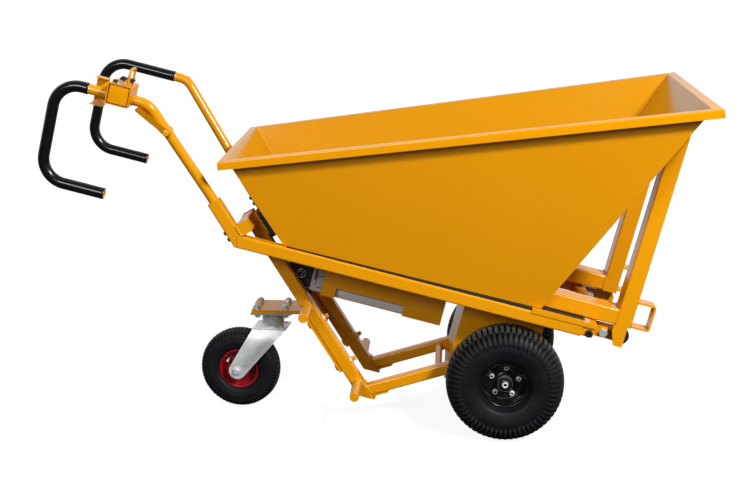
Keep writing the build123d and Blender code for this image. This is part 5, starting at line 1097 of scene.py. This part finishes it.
class WHEELBARROW_OT_skip_welds(bpy.types.Operator):
    """Lay the weld seams in the corners of the skip and on its tubes"""

    bl_idname = "wheelbarrow.skip_welds"
    bl_label = "Skip Welds"

    def execute(self, context):
        size = sizes().weld_size
        inset = SHEET + 0.6
        post_rear, loop_rear = 340.0, 390.0
        parts = []
        for end in (-1, 1):
            for side in (-1, 1):
                corners = [skip_corner(end, side, level, inset) for level in (0, 1)]
                parts.append(weld_bead([deck(u, v, y) for u, y, v in corners], size * 0.8))
        for side in (-1, 1):
            for edge in (ARM_INNER, ARM_OUTER):
                parts.append(weld_bead(deck(post_rear, np.array([13.0, 59.0]), side * edge), size * 0.8))
            top = deck(post_rear, 61.0, side * np.array([ARM_INNER + 2, ARM_OUTER - 2]))
            parts.append(weld_bead(top, size, UPWARD))
            for v in (22.0, 91.0):
                line = deck(loop_rear, v, side * np.array([ARM_OUTER - 47.0, ARM_OUTER - 3.0]))
                parts.append(weld_bead(line, size * 0.7, UPWARD))
        add_piece("welds_skip", parts, "skip", "yellow_paint", sharp=60)
        return {"FINISHED"}


def leg_seam(along, aside, sign, half):
    """Line straight across a face of a leg, half its length to each side."""
    return deck(*leg_place(along, aside), sign * LEG_Y + np.array([-half, half]))


class WHEELBARROW_OT_frame_welds(bpy.types.Operator):
    """Lay the weld beads of the frame joints"""

    bl_idname = "wheelbarrow.frame_welds"
    bl_label = "Frame Welds"

    def execute(self, context):
        parts = [bead for sign in (-1, 1) for bead in self.side_beads(sign, sizes().weld_size)]
        add_piece("welds_frame", parts, "chassis", "yellow_paint", sharp=60)
        return {"FINISHED"}

    def side_beads(self, sign, size):
        """Beads of one side: rail mitre, leg pegs, foot, castor shelf and stub beam."""
        half = TUBE / 2
        y = sign * RAIL_Y
        pegs, peg_bead = (334.0, 633.5), 15.6
        beads = []
        mitre = np.array([-half, half])
        for edge in (-1, 1):
            line = deck(RAIL_REAR - mitre * math.tan(SOCKET_LEAN / 2), -half + mitre, y + edge * half)
            beads.append(weld_bead(line, size * 0.6))
        for along in pegs:
            centre = deck(*leg_place(along), sign * (LEG_Y + half + 1.2))
            beads.append(weld_bead(ring_path(centre, ACROSS, peg_bead), size, closed=True))
        foot_u, foot_v = leg_place(np.array([650.0, 688.0]), half + 0.5)
        for edge in (-1, 1):
            beads.append(weld_bead(deck(foot_u, foot_v, sign * LEG_Y + edge * 17.5), size * 0.9))
        beads.append(weld_bead(leg_seam(648.5, half + 0.8, sign, 17.0), size, UPWARD))
        beads.append(weld_bead(leg_seam(345.0, -half - 0.5, sign, 18.0), size, UPWARD))
        beam_u, beam_v = leg_place(0.0)
        c, s = math.cos(SOCKET_LEAN), math.sin(SOCKET_LEAN)
        ends = np.array([-19.0, 19.0])
        for edge in (-1, 1):
            line = deck(beam_u - half * s - ends * c, beam_v - half * c + ends * s, y + edge * (half + 0.4))
            beads.append(weld_bead(line, size * 0.8))
        return beads


class WHEELBARROW_OT_castor_bolts(bpy.types.Operator):
    """Stack washers, nuts and thread ends on the castor carrier"""

    bl_idname = "wheelbarrow.castor_bolts"
    bl_label = "Castor Bolts"

    def execute(self, context):
        swivel = joint_place("castor_swivel")
        washer = [(0, 0.0), (12.5, 0.0), (12.5, 2.2), (0, 2.2)]
        nut = [(0, 2.2), (10.8, 2.2), (11.4, 3.2), (11.4, 10.2), (10.2, 11.6), (0, 11.6)]
        turns = [(6.0 - 0.5 * (k % 2), 11.6 + 0.8 * k) for k in range(4)]
        thread = [(0, 11.0), *turns, (4.8, 15.2), (0, 15.4)]
        parts = []
        for i in (-46.0, 46.0):
            for j in (-40.0, 40.0):
                spot = np.array([swivel[0] + i / 1000, swivel[1] + j / 1000, CARRIER_TOP / 1000])
                parts.append(turned(washer, spot, UPWARD, 36))
                parts.append(turned(nut, spot, UPWARD, 36, flats=6, turn=0.3 + i * j))
                parts.append(turned(thread, spot, UPWARD, 24))
        add_piece("bolt_stacks_castor", parts, "chassis", "bright_bolts", sharp=30, slot="zinc")
        return {"FINISHED"}


class WHEELBARROW_OT_control_cover(bpy.types.Operator):
    """Make the cover of the control box and a black slab behind it, whose edge is painted shade in the gap"""

    bl_idname = "wheelbarrow.control_cover"
    bl_label = "Control Cover"

    def execute(self, context):
        gap = sizes().cover_gap + 2.5
        box_u, box_v, outer = (-1308.0, -1239.0), (308.0, 372.0), -341.0
        half_u, half_v = (box_u[1] - box_u[0]) / 2 - gap, (box_v[1] - box_v[0]) / 2 - gap
        lip, half_thick = 2.6, 2.5
        middle = deck(sum(box_u) / 2, sum(box_v) / 2, outer + half_thick)
        axes = np.array([deck_direction(1, 0), deck_direction(0, 1), (0, -1, 0)])
        cover = block(middle, (half_u, half_v, half_thick), axes, 1.2)
        # Black slab behind the cover: its edge around the cover is painted shade in the gap.
        gap_shade_slab = block(middle + np.array([0, 0.0016, 0]), (half_u + lip, half_v + lip, 1.8), axes, 0.4)
        add_piece("cover_gap_shade", [gap_shade_slab], "chassis", "black_plastic", sharp=40)
        add_piece("cover_control", [cover], "chassis", "yellow_paint", ["control_cover"], 40)
        return {"FINISHED"}


class WHEELBARROW_OT_small_pieces(bpy.types.Operator):
    """Make the battery's ribs, lines and contacts, the buffer feet, the plug caps and the handle tab"""

    bl_idname = "wheelbarrow.small_pieces"
    bl_label = "Small Pieces"

    def execute(self, context):
        self.battery_ribs()
        self.latch_lines()
        self.socket_contacts()
        self.buffer_feet()
        self.plug_caps()
        self.handle_tab()
        return {"FINISHED"}

    def battery_ribs(self):
        """Ribbed sides of the battery: five ribs as eased square waves, drawn along the deck."""
        low, high, ribs = -158.0, -70.0, 5
        v = np.linspace(0, 1, 46)
        ripple = 1.2 + 1.6 * smooth_step(np.cos(2 * np.pi * ribs * v), -0.2, 0.2)
        outer = np.stack([ripple, low + (high - low) * v], -1)
        profile = np.concatenate([outer, [(0.2, high), (0.2, low)]])
        u = np.array([-562.0, -368.0, -174.0])[:, None]
        for side, name in ((-1, "right"), (1, "left")):
            points = deck(u, profile[None, :, 1], side * (BATTERY_HALF + profile[None, :, 0]))
            ribbed = surface(points, wrap_columns=True, caps=True)
            add_piece("battery_ribs_" + name, [ribbed], "chassis", "aluminium", sharp=30)

    def latch_lines(self):
        """Dark lines on the battery end cap, and a clip under the control unit."""
        axes = np.array([deck_direction(1, 0), ACROSS, deck_direction(0, 1)])
        places = ((11.0, -40.0, 2.6, 17.0), (28.0, -42.0, 9.5, 1.5), (27.0, -79.0, 8.5, 1.3))
        lines = []
        for side in (-1, 1):
            for u, v, half_u, half_v in places:
                spot = deck(END_CAP_REAR + u, BATTERY_TOP + v, side * BATTERY_HALF)
                lines.append(block(spot, (half_u, 0.5, half_v), axes, 0.2))
        lines.append(block(deck(END_CAP_REAR - 13.0, -177.5, 0.0), (24.0, 86.0, 12.5), axes, 3.0))
        add_piece("latch_lines", lines, "chassis", "black_plastic", sharp=40)

    def socket_contacts(self):
        """Bright ring and three pins in the round socket."""
        u, v = END_CAP_REAR - 36.3, -116.5
        contacts = [turned(oval((13.6, 0.0), (0.8, 0.6), 10), deck(u, v, -102.2), ACROSS, 40)]
        pin = [(0, 0), (2.0, 0), (2.0, 6.0), (1.4, 6.8), (0, 6.8)]
        for du, dv in ((-5.0, 3.0), (5.0, 3.0), (0.0, -5.5)):
            contacts.append(turned(pin, deck(u + du, v + dv, -92.8), (0, -1, 0), 16))
        add_piece("socket_contacts", contacts, "chassis", "bright_bolts", slot="steel")

    def buffer_feet(self):
        """Lower ends of the two rear buffers: slabs from the rest plate to a plane along the skip wall."""
        outward, reach = skip_plane(SKIP_FLOOR_REAR, SKIP_TOP_REAR, True, -0.8)
        outward = outward[[0, 2]]
        across = np.array([math.sin(LEG_LEAN), math.cos(LEG_LEAN)])
        near = TUBE / 2 + 6.2
        high, low = (np.array(leg_place(along)) for along in (62.5, 87.0))
        high_far, low_far = ((reach - outward @ start) / (outward @ across) for start in (high, low))
        outline = np.array([
            high + across * near, high + across * high_far, low + across * low_far, low + across * near])
        parts = []
        for side in (-1, 1):
            rows = deck(outline[None, :, 0], outline[None, :, 1], side * np.array([[70.3], [147.7]]))
            parts.append(surface(rows, wrap_columns=True, caps=True))
        add_piece("buffer_feet", parts, "chassis", "pad_rubber")

    def plug_caps(self):
        """Dished caps on the outer sides of the rail fronts."""
        cap = [(0, 0.1), (12.0, 0.1), (12.0, 4.2), (11.2, 5.8), (9.6, 6.5), (5.2, 6.5), (4.6, 5.9),
               (4.6, 3.4), (0, 3.4)]
        caps = [turned(cap, deck(263.0, -25.0, side * (RAIL_Y + 17.0)), (0, side, 0), 36) for side in (-1, 1)]
        add_piece("plug_caps", caps, "chassis", "black_plastic")

    def handle_tab(self):
        """Small tab at the bend of the left handle."""
        u, v = socket_place(HANDLE_RISE)
        axes = np.array([deck_direction(1, -0.7), ACROSS, deck_direction(0.7, 1)])
        tab = block(deck(u + 4.0, v + 6.0, GRIP_Y - 1.0), (9.0, 7.0, 4.0), axes, 1.2)
        add_piece("handle_tab", [tab], "chassis", "yellow_paint", sharp=40)


def lever_outline(half, tip):
    """Closed outline (along, aside) of a lever cheek.

    A half circle at the pivot, straight sides and a rounded tip.
    """
    eye, neck = 13.0, 30.0
    a = np.linspace(np.pi / 2, 3 * np.pi / 2, 17)
    rear = np.stack([eye * np.cos(a), eye * np.sin(a)], -1)
    b = np.linspace(-np.pi / 2, np.pi / 2, 9)
    front = np.stack([LEVER_LENGTH - tip + tip * np.cos(b), np.sign(b) * (half - tip) + tip * np.sin(b)], -1)
    return np.concatenate([rear, [(neck, -half)], front, [(neck, half)]])


class WHEELBARROW_OT_release_lever(bpy.types.Operator):
    """Make the folded release lever with its two cheeks, web and lip, and the pivot caps"""

    bl_idname = "wheelbarrow.release_lever"
    bl_label = "Release Lever"

    def execute(self, context):
        share = (LEVER_PLACE - HANDLE_STRAIGHT) / (HANDLE_RISE - HANDLE_STRAIGHT)
        middle = -(RAIL_Y + share * (GRIP_Y - RAIL_Y))
        pivot = socket_place(LEVER_PLACE)
        turn = SOCKET_LEAN - LEVER_TURN
        along = np.array([-math.cos(turn), math.sin(turn)])
        aside = np.array([math.sin(turn), math.cos(turn)])

        def plate(line, near, far):
            """Plate between two sides: the same closed line of (along, aside) at two places across."""
            flat = np.array(pivot) + line[..., 0:1] * along + line[..., 1:2] * aside
            rows = np.stack([deck(flat[..., 0], flat[..., 1], middle + y) for y in (near, far)])
            return surface(rows, wrap_columns=True, caps=True)

        outline = lever_outline(10.0, 4.0)
        parts = []
        for offset in (-21.5, 18.5):
            flare = offset + np.sign(offset) * 0.42 * outline[:, 1]
            parts.append(plate(outline, flare, flare + SHEET))
        parts.append(plate(self.web_line(), -16.0, 16.0))
        add_piece("lever_release", parts, "release_lever", "yellow_paint", ["release_lever"])
        cap = [(0, 21.8), (10.5, 21.8), (10.5, 25.6), (9.4, 27.6), (6.6, 28.6), (0, 28.8)]
        caps = [turned(cap, deck(*pivot, middle), (0, k, 0), 40) for k in (-1, 1)]
        add_piece("pivot_caps", caps, "chassis", "yellow_paint", sharp=40)
        return {"FINISHED"}

    def web_line(self):
        """Closed line of the web: straight, curled by an arc at the tip, and back at its thickness."""
        start, length, low, curl, thick = 52.0, 58.0, -9.6, 5.0, 2.4
        s = np.linspace(0, 1, 12)[:, None]
        web = np.concatenate([start + length * s, low + 0 * s], axis=1)
        a = np.linspace(-np.pi / 2, 0.35 * np.pi, 9)[1:, None]
        tip = np.concatenate([start + length + curl * np.cos(a), low + curl + curl * np.sin(a)], axis=1)
        line = np.concatenate([web, tip])
        run = unit(np.gradient(line, axis=0))
        inner = line + thick * np.stack([-run[:, 1], run[:, 0]], -1)
        return np.concatenate([line, inner[::-1]])


class WHEELBARROW_OT_stage(bpy.types.Operator):
    """Set the pale floor, the soft lights and the camera"""

    bl_idname = "wheelbarrow.stage"
    bl_label = "Stage"

    def execute(self, context):
        scene = context.scene
        settings = scene.wheelbarrow_stage
        scene.view_settings.view_transform = "Standard"
        scene.view_settings.look = "None"
        self.floor(scene, settings)
        self.surroundings(scene, settings)
        self.area("key", (3.0, -3.5, 3.9), (0.2, -0.2, 0.6), (0.8, 0.7), settings.key_power)
        self.area("fill", (-1.8, -4.6, 2.9), (0.0, 0.0, 0.6), (2.0, 1.4), settings.fill_power)
        self.camera(scene, settings)
        return {"FINISHED"}

    def floor(self, scene, settings):
        """Flat square grid on the ground."""
        grid = np.linspace(-60.0, 60.0, 9)
        x, y = np.meshgrid(grid, grid, indexing="ij")
        points, faces = surface(np.stack([x, y, np.zeros_like(x)], -1))
        mesh = bpy.data.meshes.new("floor")
        mesh.from_pydata(points.tolist(), [], [face[::-1] for face in faces])
        floor = bpy.data.objects.new("floor", mesh)
        scene.collection.objects.link(floor)
        mesh.materials.append(self.floor_material(settings.floor_bounce))

    def floor_material(self, bounce):
        """White to the eye; to the object it is dark in front and pale behind, like a sheet of paper."""
        material = bpy.data.materials.new("Floor")
        material.use_nodes = True
        tree = material.node_tree
        shader = tree.nodes["Principled BSDF"]
        shader.inputs["Roughness"].default_value = 0.9
        shader.inputs["Specular IOR Level"].default_value = 0.0
        shader.inputs["Emission Strength"].default_value = 1.0
        seen = tree.nodes.new("ShaderNodeLightPath").outputs["Is Camera Ray"]
        place = tree.nodes.new("ShaderNodeTexCoord").outputs["Object"]
        parted = tree.nodes.new("ShaderNodeSeparateXYZ")
        tree.links.new(place, parted.inputs[0])
        behind = stretch(tree, parted.outputs["Y"], 0.0, 2.0, 0.0, 1.0)
        unseen = mix_colour(tree, behind, grey(bounce), grey(0.5))
        tree.links.new(mix_colour(tree, seen, unseen, grey(0.26)), shader.inputs["Base Color"])
        far = tree.nodes.new("ShaderNodeVectorMath")
        far.operation = "LENGTH"
        tree.links.new(place, far.inputs[0])
        away = stretch(tree, far.outputs["Value"], 1.2, 4.0, 0.0, 1.0)
        white = mix_colour(tree, away, grey(0.88), grey(1.0))
        glow = mix_colour(tree, behind, grey(0.0), grey(0.35))
        tree.links.new(mix_colour(tree, seen, glow, white), shader.inputs["Emission Color"])
        return material

    def surroundings(self, scene, settings):
        """White to the eye; to the object dim in front and pale behind."""
        world = bpy.data.worlds.new("surroundings")
        world.use_nodes = True
        tree = world.node_tree
        around = tree.nodes.new("ShaderNodeSeparateXYZ")
        tree.links.new(tree.nodes.new("ShaderNodeTexCoord").outputs["Generated"], around.inputs[0])
        behind = stretch(tree, around.outputs["Y"], -0.15, 0.35, 0.0, 1.0)
        backdrop = mix_colour(tree, behind, grey(0.16), grey(settings.world_strength))
        seen = tree.nodes.new("ShaderNodeLightPath").outputs["Is Camera Ray"]
        lit = mix_colour(tree, seen, backdrop, grey(1.0))
        tree.links.new(lit, tree.nodes["Background"].inputs["Color"])
        scene.world = world

    def area(self, name, place, target, size, power):
        """Soft rectangular light that looks at a target."""
        data = bpy.data.lights.new(name, "AREA")
        data.shape = "RECTANGLE"
        data.size, data.size_y = size
        data.energy = power
        light = bpy.data.objects.new(name, data)
        light.location = place
        light.rotation_euler = (Vector(target) - Vector(place)).to_track_quat("-Z", "Y").to_euler()
        bpy.context.scene.collection.objects.link(light)

    def camera(self, scene, settings):
        """Camera on the operator's right, a little above the rim."""
        data = bpy.data.cameras.new("camera")
        data.lens = settings.focal_length
        data.sensor_width = 36.0
        data.clip_end = 200.0
        camera = bpy.data.objects.new("camera", data)
        camera.location = (AXLE_X / 1000 - 0.1679, -4.2035, 1.6164)
        camera.rotation_euler = (math.radians(90 - 14.296), 0.0, math.radians(3.434))
        scene.collection.objects.link(camera)
        scene.camera = camera


class WHEELBARROW_PT_panel(bpy.types.Panel):
    """Sidebar panel with the wheelbarrow's settings and steps"""

    bl_label = "Wheelbarrow"
    bl_idname = "WHEELBARROW_PT_panel"
    bl_space_type = "VIEW_3D"
    bl_region_type = "UI"
    bl_category = "Wheelbarrow"

    def draw(self, context):
        scene = context.scene
        for settings in (scene.wheelbarrow_colours, scene.wheelbarrow_sizes, scene.wheelbarrow_stage):
            for name in settings.__annotations__:
                self.layout.prop(settings, name)
        for step in STEPS:
            self.layout.operator(step.bl_idname)


STEPS = (
    WHEELBARROW_OT_finish_frame,
    WHEELBARROW_OT_drive_tyres,
    WHEELBARROW_OT_castor_tyre,
    WHEELBARROW_OT_drive_rims,
    WHEELBARROW_OT_castor_rim,
    WHEELBARROW_OT_castor_fork,
    WHEELBARROW_OT_grips,
    WHEELBARROW_OT_skip_rim,
    WHEELBARROW_OT_skip_welds,
    WHEELBARROW_OT_frame_welds,
    WHEELBARROW_OT_castor_bolts,
    WHEELBARROW_OT_control_cover,
    WHEELBARROW_OT_small_pieces,
    WHEELBARROW_OT_release_lever,
    WHEELBARROW_OT_stage,
)
CLASSES = (WheelbarrowColours, WheelbarrowSizes, WheelbarrowStage, *STEPS, WHEELBARROW_PT_panel)


def register():
    """Add the classes and their settings to Blender."""
    for cls in CLASSES:
        bpy.utils.register_class(cls)
    bpy.types.Scene.wheelbarrow_colours = PointerProperty(type=WheelbarrowColours)
    bpy.types.Scene.wheelbarrow_sizes = PointerProperty(type=WheelbarrowSizes)
    bpy.types.Scene.wheelbarrow_stage = PointerProperty(type=WheelbarrowStage)


def unregister():
    """Remove the settings and the classes."""
    del bpy.types.Scene.wheelbarrow_stage
    del bpy.types.Scene.wheelbarrow_sizes
    del bpy.types.Scene.wheelbarrow_colours
    for cls in reversed(CLASSES):
        bpy.utils.unregister_class(cls)


def main():
    """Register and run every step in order."""
    register()
    steps = bpy.ops.wheelbarrow
    steps.finish_frame()
    steps.drive_tyres()
    steps.castor_tyre()
    steps.drive_rims()
    steps.castor_rim()
    steps.castor_fork()
    steps.grips()
    steps.skip_rim()
    steps.skip_welds()
    steps.frame_welds()
    steps.castor_bolts()
    steps.control_cover()
    steps.small_pieces()
    steps.release_lever()
    steps.stage()


if __name__ == "__main__":
    main()
